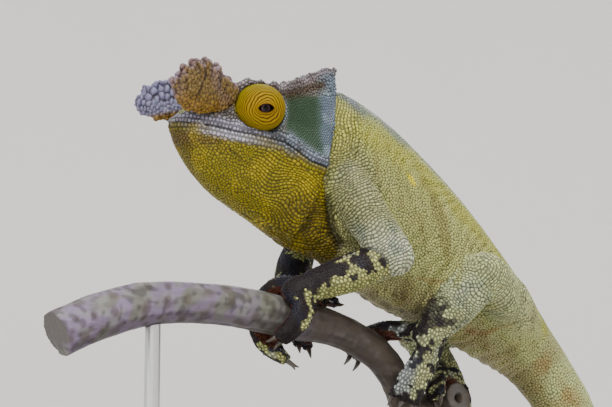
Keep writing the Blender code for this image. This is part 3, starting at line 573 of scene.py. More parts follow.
def foldDepth(p, w):         # how far the skin's folds stand out or lie in, in mm
    x, _, z = p.T
    along, rise, behind = survey(p)
    gap, _, fromMouth = toLine(p, headLines["mouth"])
    out = np.zeros(len(p)) - fold("mouth", gap) * (w["head"] + w["jaw"])
    out += fold("lipRidge", gap - 2.0) * (w["head"] + w["jaw"])
    gap, share, height = toLine(p, headLines["cheekFold"], 0)
    hold = w["jaw"] * ease(0, 0.3, share) * ease(0.95, 0.45, share) * (0.75 + 0.35 * wander(p, 4.0, 9))
    out -= fold("cheek", gap) * hold
    out += fold("cheekRidge", gap - 2.6) * (height > 0) * hold
    fromSeat = mirrored(p) - np.array(eye["seat"])
    axis = unit(np.subtract(eye["apex"], eye["seat"]))
    high = fromSeat @ axis
    fromAxis = np.linalg.norm(fromSeat - np.outer(high, axis), axis=1) - eye["radius"]
    out -= fold("socket", fromAxis) * w["head"] * ease(9.0, 5.0, np.abs(high)) * ease(48, 43, z)
    out += fold("collar", fromAxis - 2.4) * w["head"] * ease(12.0, 7.0, np.abs(high))
    out += fold("brow", toLine(p, headLines["crest"])[0]) * w["head"]
    throat = onThroat(p)
    hold = ease(-1.5, 1.5, behind) * ease(24, 12, behind) * (w["neck"] + w["torso"] + 0.5 * w["jaw"])
    hold *= ease(56, 36, z) * (1 - throat)
    phase = behind / folds["neckEvery"] + 0.45 * wander(p * (1, 1, 0.6), 10.0, 3)
    out += folds["neck"] * hold * (pleats(phase, 0.6) - 0.62)
    phase = rowField(p, "jawRear") / folds["jawEvery"] + 0.5 * wander(p, 8.0, 7)
    hold = (w["jaw"] + w["neck"] * throat) * ease(-34, -22, x + 0.35 * z) * ease(-5, -9, fromMouth)
    out += folds["jaw"] * hold * (pleats(phase, 0.45) - 0.68)
    gap, share, _ = toLine(p, armpit, 0)
    out -= fold("pit", gap) * ease(0.0, 0.4, share) * (w["neck"] + w["torso"] + 0.4 * w["jaw"])
    for label, (middle, axis, _) in limbs.items():
        if label.startswith(("upperArm", "thigh", "shin")):
            phase = (p - middle) @ axis / folds["armEvery"] + 0.9 * wander(p, 7.0, 5)
            uneven = 0.45 + 0.55 * ease(-0.5, 0.7, wander(p, 6.0, 6))
            out += folds["arm"] * w[label] * uneven * (pleats(phase, 0.4) - 0.7)
    out -= fold("groin", toLine(p, groin)[0]) * (w["torso"] + 0.4 * (w["thighLeft"] + w["thighRight"]))
    waves = np.sin(2 * math.pi * (along / folds["bodyEvery"] + 0.8 * wander(p, 18.0, 8)))
    return out + folds["body"] * (w["torso"] + 0.5 * w["tail"]) * waves * ease(0.95, 0.4, rise)


def makeSkin():
    obj = voxelCast("skin", underNodes, skin["puff"], skin["voxel"])
    edges = edgesOf(obj)
    p = readMesh(obj)
    tree, owner = nodeTree(*underNodes)
    owner = np.array([labels.index(labelOf(name)) for name in owner])
    hard = owner[[tree.find_nearest(Vector(co))[2] for co in toFrame(p)]]
    soft = spread(np.eye(len(labels))[hard], edges, skin["blend"])
    give = soft @ np.array([firm(label) for label in labels])[:, None]
    p = spread(p, edges, skin["rounds"], [rate * give for rate in rounding["skin"]])
    wide = spread(soft, edges, skin["join"])
    limb = sum(wide[:, labels.index(label)] for label in limbs)
    trunk = wide[:, labels.index("torso")] + wide[:, labels.index("neck")]
    most = np.sort(wide, axis=1)
    joint = np.clip(5.0 * limb * trunk, 0, 1) + np.clip(3.2 * most[:, -1] * most[:, -2] * limb, 0, 0.5)
    for name in ("handLeft", "handRight", "footLeft", "footRight"):
        joint *= 1 - ease(0.3, 0.7, wide[:, labels.index(name)])
    base = spread(p, edges, skin["fill"], (0.55 * np.clip(joint, 0, 1)[:, None],))     # fills the joins
    writeMesh(obj, base)
    weights = weightsOf(soft)
    lift = foldDepth(base, weights)
    sink = skin["depth"] + skin["hornDepth"] * weights["horn"] ** 2      # the horns' cores lie deeper
    p = base + normalsOf(obj) * (lift - sink)[:, None]
    writeMesh(obj, p)
    # painted shade: 0 on open skin, rising to 1 the deeper a fold lies in
    return {"obj": obj, "p": p, "base": base, "n": normalsOf(obj), "soft": soft, "hard": hard,
            "crease": ease(0.12, 0.75, -lift)}


# Markings

tones = picked({
    "throat": (148, 137, 0), "throatRear": (108, 86, 0), "throatDeep": (92, 78, 0), "chin": (106, 90, 10),
    "chinDark": (110, 80, 50), "lip": (222, 220, 236), "lipMid": (156, 152, 168), "lipRear": (134, 142, 156),
    "underLip": (146, 134, 70), "temple": (58, 84, 60), "templePale": (94, 118, 112), "rim": (112, 126, 144),
    "rimPale": (172, 186, 196), "band": (66, 46, 16), "ridge": (168, 158, 166), "crown": (136, 142, 84),
    "nose": (66, 62, 56), "cheek": (190, 172, 40), "neck": (194, 193, 124), "neckDeep": (62, 42, 12),
    "body": (164, 171, 122), "flank": (192, 191, 136), "bodyPale": (206, 208, 156), "belly": (178, 166, 130),
    "bandLow": (186, 185, 102), "back": (116, 128, 116), "backBlue": (112, 116, 138),
    "streak": (132, 120, 72), "spot": (236, 224, 80), "shoulder": (144, 144, 86), "arm": (212, 216, 192), "armBlue": (120, 138, 142),
    "dark": (36, 24, 30), "darkBlue": (38, 40, 60), "plate": (208, 210, 158), "lowerArm": (202, 204, 148),
    "palm": (112, 62, 44), "leg": (200, 207, 172), "legPale": (204, 208, 168), "whitish": (190, 196, 194),
    "tail": (200, 205, 158), "tailOrange": (170, 124, 72), "tailUnder": (126, 114, 74),
    # gap, gapBody, gapDark and gapBlue: the dark between the scales, partly the skin's own colour and partly
    # painted shade in the grooves
    "rust": (148, 100, 54), "gap": (26, 20, 0), "gapBody": (84, 76, 44), "gapDark": (16, 12, 16),
    "gapBlue": (38, 40, 42),
})

plateTrails = [    # lines of pale plates down the left forearm, hand, shin and foot, each with its half-width
    (1.3, (1, -24, -30), (9, -30, -25)), (1.4, (4, -30, -30.5), (8, -34, -34), (13, -32.5, -39)),
    (1.6, (0, -27, -38), (6, -31, -38.5), (12, -32, -39)), (1.1, (3, -31, -35), (11, -34, -33)),
    (1.5, (12, -35, -27), (15, -38, -30), (17, -38, -33), (18, -35, -37)),
    (1.6, (-4, -22, -42), (-1, -20, -45), (-6, -18, -47)), (2.1, (-11, -18, -46.5), (-10.5, -18, -48)),
    (1.6, (-9, -18, -52), (-11, -16, -59)), (1.8, (-21, 4, -66), (-14, -2, -73)),
    (2.3, (45, -16, -76), (44, -15, -84), (49, -15, -88)),
    (2.3, (52, -22, -64), (54, -26, -62), (59, -28, -60)),
    (2.8, (59, -22, -67), (55, -21, -74), (51, -19, -80), (53, -16, -85)),
    (2.5, (61, -26, -75), (57, -20, -79)), (1.8, (59, -31, -52), (65, -34, -52)),
]


def headPaint(p, n, behind):
    x, _, z = p.T
    side = ease(0.25, 0.6, np.abs(n[:, 1]))
    gap, _, height = toLine(p, headLines["mouth"])
    onBand, onCrest = (toLine(p, headLines[name])[0] for name in ("band", "crest"))
    rimWide = 1.8 + 0.25 * np.clip(z - 18, 0, 40)
    toRim = ease(-2.5, 2.0, behind + rimWide + 0.8 * wander(p, 6.0, 20)) * ease(-30, -14, x)
    pale = ease(0.1, 0.9, wander(p * (1, 1, 0.4), 3.0, 21) + ease(34, 16, z))
    eyeGap = fromEye(p)
    lips = layered(
        "lipMid",
        ("lip", near(x + 46, 7 + 3 * wander(p, 5.0, 26)) * 0.5),
        ("lipRear", ease(-42, -24, x)),
        ("nose", ease(0.2, 0.9, wander(p, 5.0, 23)) * 0.45))
    return layered(
        "crown",
        ("ridge", side * 0.8),
        ("temple", ease(-27, -20, x) * ease(51, 47, z) * side),
        ("templePale", ease(-5, -1, behind + rimWide) * ease(-30, -14, x) * side * 0.5),
        ("rim", toRim * 0.9),
        ("rimPale", toRim * pale * 0.7),
        (tones["rimPale"] * 0.8, near(height - 3.4, 2.4) * ease(-26, -18, x) * 0.6),
        ("band", near(onBand, 3.2) * ease(3, -3, behind + 4)),
        ("ridge", near(onCrest, 2.6) * 0.85),
        ("band", near(onCrest, 3.0) * ease(0.2, 0.9, wander(p, 5.0, 22)) * 0.4),
        ("nose", near(x + 51, 5) * near(z - 38, 4.5) * side * 0.85),
        ("rimPale", near(eyeGap - 1.6, 1.0) * ease(-32, -24, x) * ease(48, 42, z) * 0.6),
        (tones["turretOuter"] * 0.9,
         ease(3.6, 1.2, eyeGap + 0.6 * wander(p, 4.0, 24)) * ease(-30, -36, x) * ease(46, 42, z)),
        (lips, (gap < 6.5) * ease(5.6, 4.2, height) * (height > -1.5) * ease(-82, -68, x)),
        ("nose", near(height - 6.4, 1.6) * (x < -24) * side * 0.6))


def jawPaint(p):
    x, _, z = p.T
    gap, _, height = toLine(p, headLines["mouth"])
    lower = layered(
        "underLip",
        ("lip", near(x + 50, 14) * ease(5.2, 3.4, -height) * 0.9),
        ("lipRear", ease(-34, -26, x) * ease(3.4, 1.6, -height) * 0.8))
    return layered(
        "throat",
        ("throatRear", ease(-34, -8, x) * ease(10, -6, z) * 0.6),
        # painted shade: the jaw's front is painted darker towards the chin
        ("chin", ease(-54, -70, x) * 0.7),
        ("chinDark", near(height + 6.5, 2.8) * ease(-46, -60, x) * 0.6),
        ("cheek", near(height + 10, 6) * ease(-34, -14, x) * 0.7),
        (lower, ease(7.0, 3.4, -height + 5 * ease(-30, -10, x)) * ease(-72, -62, x) * ease(7.0, 4.5, gap)),
        ("throatDeep", ease(0.0, 0.9, wander(p, 12.0, 31)) * ease(14, 0, z) * 0.22),
        (tones["cheek"] * 1.15, ease(0.3, 1.0, wander(p, 8.0, 32)) * 0.4),
        # painted shade: patches of the same darker tone towards the front of the jaw
        ("chin", ease(0.7, 1.2, wander(p, 3.0, 33)) * ease(-30, -60, x) * 0.3))


# Rust-coloured creases on the belly and by the knee, a dark line painted as the shade of a fold on the belly,
# and the tail's warm side
creaseLine = [(51, 21, -34), (57, 21, -35.5), (64, 23, -35)]
groinLine = [(86, 12, -57), (91, 13, -58.5), (96, 15, -58), (102, 21, -55)]
bellyLine = [(38, 10, -41), (48, 10, -45), (56, 12, -48)]
warmLine = [(124, 12, -66), (137, 12, -74), (154, 10, -92)]


def trunkPaint(p, along, rise, behind):
    x, _, z = p.T
    steep = p @ np.array(((1, 0, 0), (0, 1, 0), (0.35, 0, 0.42)))
    under = ease(0.75, 0.3, rise)
    inPit, share, _ = toLine(p, armpit, 0)
    onCrease, onGroin, onBelly = (toLine(p, line, 0)[0] for line in (creaseLine, groinLine, bellyLine))
    spot = np.hypot((x - 45) * 0.9 + (z - 12) * 0.5, ((z - 12) * 0.6 - (x - 45) * 0.2) * 0.7)
    return layered(
        "body",
        ("flank", near(rise + 0.05, 0.5) * 0.7),
        ("bodyPale", ease(50, 82, along) * ease(0.7, 0.3, rise) * ease(-0.8, -0.3, rise) * 0.8),
        ("belly", ease(-0.5, -0.95, rise) * 0.7),
        ("bandLow", near(rise - 0.52, 0.22) * 0.8),
        ("streak", ease(0.1, 1.0, wander(steep, 5.0, 41)) * under * 0.5),
        ("bodyPale", ease(0.2, 1.1, wander(steep, 7.0, 42)) * under * 0.5),
        ("back", ease(0.68, 0.86, rise + 0.06 * wander(p, 8.0, 44)) * 0.85),
        ("backBlue", ease(0.1, 0.7, wander(p, 9.0, 43)) * ease(0.74, 0.92, rise) * 0.8),
        ("neck", ease(22, 6, behind) * ease(0.9, 0.5, rise)),
        # painted shade: a broken dark line where a fold of the belly lies
        (tones["tailUnder"] * 0.6, near(onBelly, 4.0) * ease(-0.1, 0.7, wander(steep, 3.0, 45)) * 0.8),
        ("rust", near(onCrease, 0.8) * (z < -30) * 0.5),
        ("rust", near(onGroin, 1.2) * (z < -30) * 0.6),
        # painted shade in the pit between jaw and arm
        ("neckDeep", near(inPit, 2.0) * ease(0.1, 0.5, share) * 0.8),
        ("spot", ease(1.9, 1.1, spot) * (rise > 0)))


def tailPaint(p, along, rise):
    return layered(
        "tail",
        ("tailUnder", ease(-0.4, -0.9, rise) * 0.7),
        ("tailOrange", near(toLine(p, warmLine)[0], 7.0) * ease(-0.6, 0.6, wander(p, 7.0, 51)) * 0.6),
        ("back", ease(0.7, 0.95, rise) * 0.4),
        ("tailUnder", ease(0.5, 0.95, np.sin(along / 11.0 + 0.5 * wander(p, 14.0, 53))) * 0.35))


def armPaint(p):
    return layered(
        "arm",
        ("armBlue", ease(0.3, 1.0, wander(p, 5.0, 61)) * 0.6),
        ("shoulder", ease(-24, -6, p[:, 2]) * 0.7))


def handPaint(p, pale, inward):      # pale plates on a dark ground, with a brown palm
    white = ease(52, 46, p[:, 0]) * ease(30, 40, p[:, 0]) + ease(0.3, 1.0, wander(p, 5.0, 72)) * 0.5
    return layered(
        "dark",
        ("darkBlue", ease(-0.1, 0.8, wander(p, 6.0, 71)) * 0.8),
        ("palm", inward),
        (layered(pale, ("whitish", white)), plateShare(p) * (1 - inward)))


def fromLine(p, line):       # distance to a line drawn through a few places
    gap = np.full(len(p), np.inf)
    for a, b in zip(np.array(line, float), np.array(line[1:], float)):
        share = np.clip((p - a) @ (b - a) / ((b - a) @ (b - a)), 0, 1)
        gap = np.minimum(gap, np.linalg.norm(p - a - share[:, None] * (b - a), axis=1))
    return gap


def plateShare(p):       # 1 inside the patches of pale plates, with ragged edges
    share = np.zeros(len(p))
    ragged = 0.85 * wander(p, 2.2, 73)
    for width, *line in plateTrails:
        share = np.maximum(share, ease(1.2, 1.05, fromLine(p, line) / width + ragged))
    onFoot = ease(36, 42, p[:, 0]) * ease(-52, -58, p[:, 2])
    loose = ease(0.62, 0.8, wander(p, 4.2, 77)) * (p[:, 1] > -3)
    loose += ease(0.25, 0.4, wander(p, 3.0, 78)) * onFoot
    return np.clip(np.maximum(share, loose), 0, 1)


def lowBand(p, n, word):     # 1 on a forearm's lower side, with a ragged edge
    ragged = 0.22 * wander(p * (1, 1, 0.5), 2.2, 79)
    return ease(-0.34, -0.52, n[:, 2] + ragged) * ease(0.95, 0.7, limbShare(p, "forearm" + word))


def besideArm(p, word):      # 1 on the trunk beside an upper arm, where the arm's pleats run on
    middle, axis, half = limbs["upperArm" + word]
    along = (p - middle) @ axis
    off = np.linalg.norm(p - middle - np.outer(along, axis), axis=1)
    share = (along / half + 1) / 2
    outside = p[:, 1] * sides[word] > 4
    return ease(17.0, 12.0, off + 5 * share) * ease(-0.3, 0.0, share) * ease(0.9, 0.6, share) * outside


def grip(p, n):          # 1 where the skin faces the branch and lies close to it
    tree, _ = nodeTree("branch")
    share = np.zeros(len(p))
    for i in np.where(p[:, 2] < -25)[0]:
        place, _, _, distance = tree.find_nearest(Vector(toFrame(p[i])), 6 * mm)
        if place is not None:
            share[i] = (n[i] @ unit(toAnimal(place) - p[i])) * (distance < 5.5 * mm)
    return ease(0.2, 0.6, share)


def paint(p, n, w, crease):      # every place's own colour, with painted shade in the folds
    along, rise, behind = survey(p)
    trunk, arm, throat, inward = trunkPaint(p, along, rise, behind), armPaint(p), jawPaint(p), grip(p, n)
    hand, foot = handPaint(p, "plate", inward), handPaint(p, "legPale", inward)
    leg = layered(
        "leg",
        (tones["armBlue"] * 0.9, ease(0.5, 1.1, wander(p, 5.0, 81)) * 0.3),
        ("bandLow", ease(0.3, 1.0, wander(p, 9.0, 82)) * 0.4))
    beside = np.maximum(besideArm(p, "Left"), besideArm(p, "Right"))
    parts = [
        (w["head"], headPaint(p, n, behind)),
        (w["jaw"], throat),
        (w["neck"] + w["torso"], layered(trunk, (arm, beside * 0.55), (throat, onThroat(p)))),
        (w["tail"], tailPaint(p, along, rise)),
        (w["horn"], tones["horn"])]
    for word in sides:
        share = limbShare(p, "upperArm" + word)
        elbow = ease(0.78, 0.95, share) * ease(0.1, -0.4, n[:, 0] + 0.3 * n[:, 2]) * ease(21.5, 19.0, p[:, 0])
        outer = ease(0.28, 0.1, limbShare(p, "forearm" + word)) * ease(0.0, 0.5, n[:, 0])
        hip = ease(0.6, 0.1, limbShare(p, "thigh" + word))
        share = limbShare(p, "shin" + word) + 0.1 * wander(p, 4.0, 83)
        dark = ease(0.5, 0.72, share) * ease(0.35, -0.3, n[:, 0]) + ease(0.3, 0.8, wander(p, 2.6, 85)) * 0.35
        parts += [
            (w["upperArm" + word], layered(arm, ("dark", elbow * 0.85))),
            (w["forearm" + word], layered(hand, ("lowerArm", lowBand(p, n, word) * 0.9), ("arm", outer))),
            (w["hand" + word], hand),
            (w["thigh" + word], layered(trunk * 0.4 + leg * 0.6, (trunk * 0.8 + leg * 0.2, hip))),
            (w["shin" + word], layered(leg, ("dark", dark * 0.9), ("legPale", plateShare(p)))),
            (w["foot" + word], foot)]
    # painted shade: every colour is darkened by up to 0.6 where the skin lies in a fold
    return sum(share[:, None] * part for share, part in parts) * (1 - 0.6 * crease[:, None])


# Scales

rowsEvery = {"lip": 1.95, "neck": 1.5, "spine": 1.65, "limb": 1.5}     # mm from one row to the next
jawRows = 22         # from the mouth's line down to the throat's lower edge


def rowField(p, kind):       # a number that goes up by one from each row of scales to the next
    x, _, z = p.T
    if kind == "lip":
        gap, _, height = toLine(p, headLines["mouth"])
        return (gap + 0.75) * np.sign(height) / rowsEvery["lip"]
    if kind == "jawRear":
        top, low = (np.interp(x, *np.array(headLines[name])[:, [0, 2]].T) for name in ("mouth", "throat"))
        return (top - z) / np.maximum(top - low, 4) * jawRows + 1.3 * wander(p, 9.0, 201)
    if kind == "temple":
        return x * 0.93 + z * 0.36 + 0.3 * wander(p, 9.0, 202)
    along, _, behind = survey(p)
    if kind == "neck":
        return behind / rowsEvery["neck"] + 1.2 * wander(p, 9.0, 203)
    if kind in ("trunk", "tail"):
        return along / rowsEvery["spine"] + 0.5 * wander(p, 14.0, 204)
    middle, axis, _ = limbs[kind]
    return (p - middle) @ axis / rowsEvery["limb"] + wander(p, 7.0, 205)


plans = {    # mm across and along a row, height, roundness, and 1 for rows or 2 for rows that read as pleats
    "head": (1.5, 1.5, 0.4, 0.15, 0), "temple": (1.0, 1.4, 0.22, 0.1, 1), "jaw": (1.25, 1.25, 0.32, 0.0, 0),
    "jawRear": (1.55, 1.95, 0.4, 0.0, 2), "neck": (1.5, 2.1, 0.4, 0.0, 2),
    "trunk": (1.28, 1.28, 0.11, 0.15, 0), "tail": (1.4, 1.45, 0.17, 0.15, 0),
    "upperArm": (1.5, 2.1, 0.34, 0.0, 2), "forearm": (1.2, 1.3, 0.26, 0.2, 0),
    "plate": (1.4, 2.0, 0.26, 0.0, 0), "thigh": (1.5, 2.0, 0.3, 0.0, 2), "shin": (1.6, 2.1, 0.34, 0.0, 1),
    "hand": (1.12, 1.18, 0.26, 0.3, 0), "foot": (1.25, 1.35, 0.3, 0.25, 0),
    "ridge": (1.45, 1.5, 0.34, 0.1, 0), "lip": (1.9, 1.75, 0.36, 0.08, 1),
}
bodyZones = ("lip", "jawRear", "temple", "neck", "trunk", "tail")      # their rows cross the head or the body
limbZones = ("upperArm", "forearm", "thigh", "shin", "plate", "hand", "foot")      # and these a limb
unevenZones = ("lip", "jaw", "jawRear", "head", "plate", "foot", "shin", "neck", "upperArm")


def zonesOf(p, n, hard):     # which plan each place follows, and which piece its rows cross
    x, _, z = p.T
    plain = [label.replace("Left", "").replace("Right", "") for label in labels]
    zone = np.array([{"horn": "head", "torso": "trunk"}.get(name, name) for name in plain], "U8")[hard]
    onHead = zone == "head"
    zone[onHead & (np.abs(n[:, 1]) > 0.45) & (x > -24) & (z < 50)] = "temple"
    onCrest = np.minimum(toLine(p, headLines["crest"])[0], toLine(p, headLines["band"])[0] + 0.8)
    zone[onHead & (onCrest < 2.2) & (x < 11)] = "ridge"
    zone[(zone == "jaw") & (x > -36 + 4 * wander(p, 9.0, 206))] = "jawRear"
    zone[(zone == "trunk") & (survey(p)[2] < 16) & (z < 48)] = "neck"
    zone[np.isin(zone, ("neck", "trunk")) & (onThroat(p) > 0.5)] = "jawRear"
    zone[np.isin(zone, ("forearm", "hand", "foot", "shin")) & (plateShare(p) > 0.5)] = "plate"
    atMouth = toLine(p, headLines["mouth"])[0] < 4.9
    zone[np.isin(hard, [labels.index("head"), labels.index("jaw")]) & atMouth] = "lip"
    follow = hard.copy()
    for word in sides:
        annexed = np.isin(zone, ("trunk", "neck")) & (besideArm(p, word) > 0.5)
        zone[annexed] = "upperArm"
        follow[annexed] = labels.index("upperArm" + word)
        zone[(hard == labels.index("thigh" + word)) & (limbShare(p, "thigh" + word) < 0.42)] = "trunk"
        zone[(hard == labels.index("forearm" + word)) & (lowBand(p, n, word) > 0.5)] = "plate"
    return zone, follow


def traceRows(surface, field, use, every, key):      # points along the lines where a field is a whole number
    draw = np.random.default_rng(key)
    tris = surface.tris[use[surface.tris].all(1)]
    if not len(tris):
        return np.zeros((0, 3))
    f = field[tris]
    low, high = np.ceil(f.min(1)), np.floor(f.max(1))
    found = []
    for extra in (0, 1, 2):
        hit = low + extra <= high
        t, g, level = tris[hit], f[hit], (low + extra)[hit]
        crossing, places, keys = [], [], []
        for i, j in ((0, 1), (1, 2), (2, 0)):
            a, b = g[:, i] - level, g[:, j] - level
            crossing.append((a < 0) != (b < 0))
            share = a / np.where(a == b, 1, a - b)
            places.append(surface.p[t[:, i]] + (surface.p[t[:, j]] - surface.p[t[:, i]]) * share[:, None])
            first, second = np.minimum(t[:, i], t[:, j]).astype(np.int64), np.maximum(t[:, i], t[:, j])
            keys.append((first * len(surface.p) + second) * 1024 + (level.astype(np.int64) + 512))
        pair = np.argsort(~np.array(crossing).T, axis=1, kind="stable")[:, :2]
        good = np.array(crossing).sum(0) == 2
        rows = np.arange(len(t))
        for k in (0, 1):
            found.append((np.array(keys)[pair[:, k], rows][good], np.array(places)[pair[:, k], rows][good]))
    keyA = np.concatenate([found[k][0] for k in (0, 2, 4)])
    keyB = np.concatenate([found[k][0] for k in (1, 3, 5)])
    names, back = np.unique(np.concatenate([keyA, keyB]), return_inverse=True)
    spots = np.zeros((len(names), 3))
    spots[back] = np.concatenate([found[k][1] for k in (0, 2, 4, 1, 3, 5)])
    mates = [[] for _ in names]
    for a, b in zip(back[:len(keyA)].tolist(), back[len(keyA):].tolist()):
        mates[a].append(b)
        mates[b].append(a)
    used, seeds = np.zeros(len(names), bool), []
    for start in sorted(range(len(names)), key=lambda i: len(mates[i]) != 1):      # open rows come first
        if used[start]:
            continue
        chain, here = [start], start
        used[start] = True
        while True:
            ahead = [m for m in mates[here] if not used[m]]
            if not ahead:
                break
            here = ahead[0]
            used[here] = True
            chain.append(here)
        line = spots[chain]
        run = runOf(line)
        if run[-1] < every * 0.6:
            continue
        count = max(1, round(run[-1] / every))
        at = (np.arange(count) + draw.uniform(0.1, 0.9) + draw.uniform(-0.24, 0.24, count)) / count * run[-1]
        seeds.append(np.column_stack([np.interp(at, run, line[:, k]) for k in range(3)]))
    return np.vstack(seeds) if seeds else np.zeros((0, 3))


def closestPoints(p, count):
    tree = treeOf(p)
    return np.array([[row[1] for row in tree.find_n(place, count + 1)][1:] for place in p], np.int32)


class Surface:       # a mesh that points are set on
    def __init__(self, p, n, tris):
        self.p, self.n, self.tris = p, n, tris
        self.tree = BVHTree.FromPolygons([Vector(v) for v in p], [tuple(int(i) for i in t) for t in tris])

    def settle(self, q):     # the nearest places on the mesh, with their normals and nearest corners
        hits = [self.tree.find_nearest(Vector(v)) for v in q]
        place = np.array([h[0] for h in hits])
        corners = self.tris[np.array([h[2] for h in hits])]
        gaps = np.linalg.norm(self.p[corners] - place[:, None], axis=2)
        share = 1 / (gaps + 0.05)
        share /= share.sum(1, keepdims=True)
        normal = unit((self.n[corners] * share[..., None]).sum(1))
        return place, normal, corners[np.arange(len(q)), gaps.argmin(1)]


scattering = {"area": 0.8, "closest": 0.8, "tries": 3.2}        # shares of the spacing, and tries for a point


def scatter(surface, spacing, wanted, key, placed=()):       # seeded points, clear of placed ones
    draw = np.random.default_rng(key)
    a, b, c = (surface.p[surface.tris[:, k]] for k in range(3))
    area = np.linalg.norm(np.cross(b - a, c - a), axis=1) / 2
    gaps = spacing[surface.tris].mean(1)
    density = np.where(wanted[surface.tris].all(1), area / (scattering["area"] * gaps**2), 0)
    count = int(density.sum() * scattering["tries"])
    pick = draw.choice(len(area), count, p=density / density.sum())
    u, v = draw.random((2, count))
    flip = u + v > 1
    u, v = np.where(flip, 1 - u, u), np.where(flip, 1 - v, v)
    q = a[pick] + (b - a)[pick] * u[:, None] + (c - a)[pick] * v[:, None]
    reach = gaps[pick] * scattering["closest"]
    cell = float(spacing.max())
    grid, chosen = {}, []
    for place in placed:
        grid.setdefault(tuple(np.floor(place / cell).astype(int)), []).append(tuple(place))
    keys = np.floor(q / cell).astype(int)
    around = [(i, j, k) for i in (-1, 0, 1) for j in (-1, 0, 1) for k in (-1, 0, 1)]
    for index in range(count):
        x, y, z = q[index]
        kx, ky, kz = keys[index]
        limit = reach[index] ** 2
        clear = True
        for i, j, k in around:
            for ox, oy, oz in grid.get((kx + i, ky + j, kz + k), ()):
                if (ox - x) ** 2 + (oy - y) ** 2 + (oz - z) ** 2 < limit:
                    clear = False
                    break
            if not clear:
                break
        if clear:
            grid.setdefault((kx, ky, kz), []).append((x, y, z))
            chosen.append(index)
    return q[chosen]


def flowOf(p, n, zone, labelIndex):      # each scale's direction along its row
    one = unit(np.cross(n, (0.31, 0.87, 0.37)))
    two = np.cross(n, one)
    flow = unit(np.cross(n, np.cross((0.3, 0.1, 1.0), n)))
    step = 0.3
    for name in set(zone.tolist()):
        here = np.where(zone == name)[0]
        groups = []
        if name in bodyZones:
            groups = [(name, here)]
        elif name in limbZones:
            groups = [(label, here[labelIndex[here] == labels.index(label)]) for label in limbs]
        for kind, rows in groups:
            if len(rows):
                at = rowField(p[rows], kind)
                slope = [rowField(p[rows] + way[rows] * step, kind) - at for way in (one, two)]
                uphill = unit(one[rows] * slope[0][:, None] + two[rows] * slope[1][:, None])
                flow[rows] = np.cross(n[rows], uphill)
    return flow


settling = {"rounds": 3, "mates": 9, "push": 0.4, "sideways": 0.08, "most": 0.3}


def relax(surface, q, plansFor, inRow):      # evens the spacing, and points in rows move mostly along them
    for _ in range(settling["rounds"]):
        place, normal, corner = surface.settle(q)
        zone, labelIndex, across, along = plansFor(corner)
        flow = flowOf(place, normal, zone, labelIndex)
        side = np.cross(normal, flow)
        mates = closestPoints(place, settling["mates"])
        gap = place[:, None] - place[mates]
        a = (gap * flow[:, None]).sum(2) / (along / across)[:, None]
        b = (gap * side[:, None]).sum(2)
        distance = np.maximum(np.hypot(a, b), 1e-6)
        want = (across[:, None] + across[mates]) / 2
        push = np.clip(want - distance, 0, None) * settling["push"] / distance
        sideways = (b * push).sum(1) * np.where(inRow, settling["sideways"], 1.0)
        move = flow * ((a * push).sum(1) * along / across)[:, None] + side * sideways[:, None]
        size = np.linalg.norm(move, axis=1, keepdims=True)
        q = place + move * np.minimum(1, settling["most"] * across[:, None] / np.maximum(size, 1e-9))
    return surface.settle(q)


tile = {"sides": 8, "gap": 0.05, "rowGap": 0.04, "pleatGap": 0.1, "crack": 0.09, "most": 0.72, "least": 0.26,
        "skirt": 0.12, "spot": 0.0015}
tileTurn = (np.arange(tile["sides"]) + 0.5) * 2 * math.pi / tile["sides"]

# Spread, lift and darkness of each ring of a dome; the darkness is the share of the gap colour painted on the
# ring, as painted shade that deepens from the dome's top to its foot
fineLevels = [(1.03, -0.2, 1.0), (1.0, 0.45, 0.7), (0.78, 0.92, 0.08)]
plainLevels = [(1.03, -0.2, 0.9), (0.9, 0.7, 0.12)]


def tileReach(coat, across, mates, roundness, cracked):      # how far each scale reaches to every side
    q, inRow = coat["q"], coat["inRow"]
    rel = q[mates] - q[:, None]
    a = (rel * coat["flow"][:, None]).sum(2) / coat["stretch"][:, None]
    b = (rel * coat["side"][:, None]).sum(2)
    share = across[:, None] / (across[:, None] + across[mates])
    reach = np.full((len(q), tile["sides"]), 9.0)
    for k, t in enumerate(tileTurn):
        ahead = a * math.cos(t) + b * math.sin(t)
        reach[:, k] = np.where(ahead > 1e-4, (a**2 + b**2) * share / np.maximum(ahead, 1e-4), 9.0).min(1)
    reach = np.minimum(reach, tile["most"] * across[:, None])
    least = reach.min(1, keepdims=True)
    reach = reach * (1 - roundness[:, None]) + np.minimum(reach, least * 1.12) * roundness[:, None]
    reach = reach * np.random.default_rng(23).uniform(0.9, 1.03, reach.shape)
    pleat = (inRow == 2)[:, None]
    inset = tile["gap"] * (1 - pleat * np.abs(np.cos(tileTurn))) + np.abs(np.sin(tileTurn)) * (
        tile["rowGap"] * (inRow > 0)[:, None] + tile["pleatGap"] * pleat)
    inset = across[:, None] * (inset + tile["crack"] * cracked[:, None])
    return np.maximum(reach - inset, tile["least"] * across[:, None])


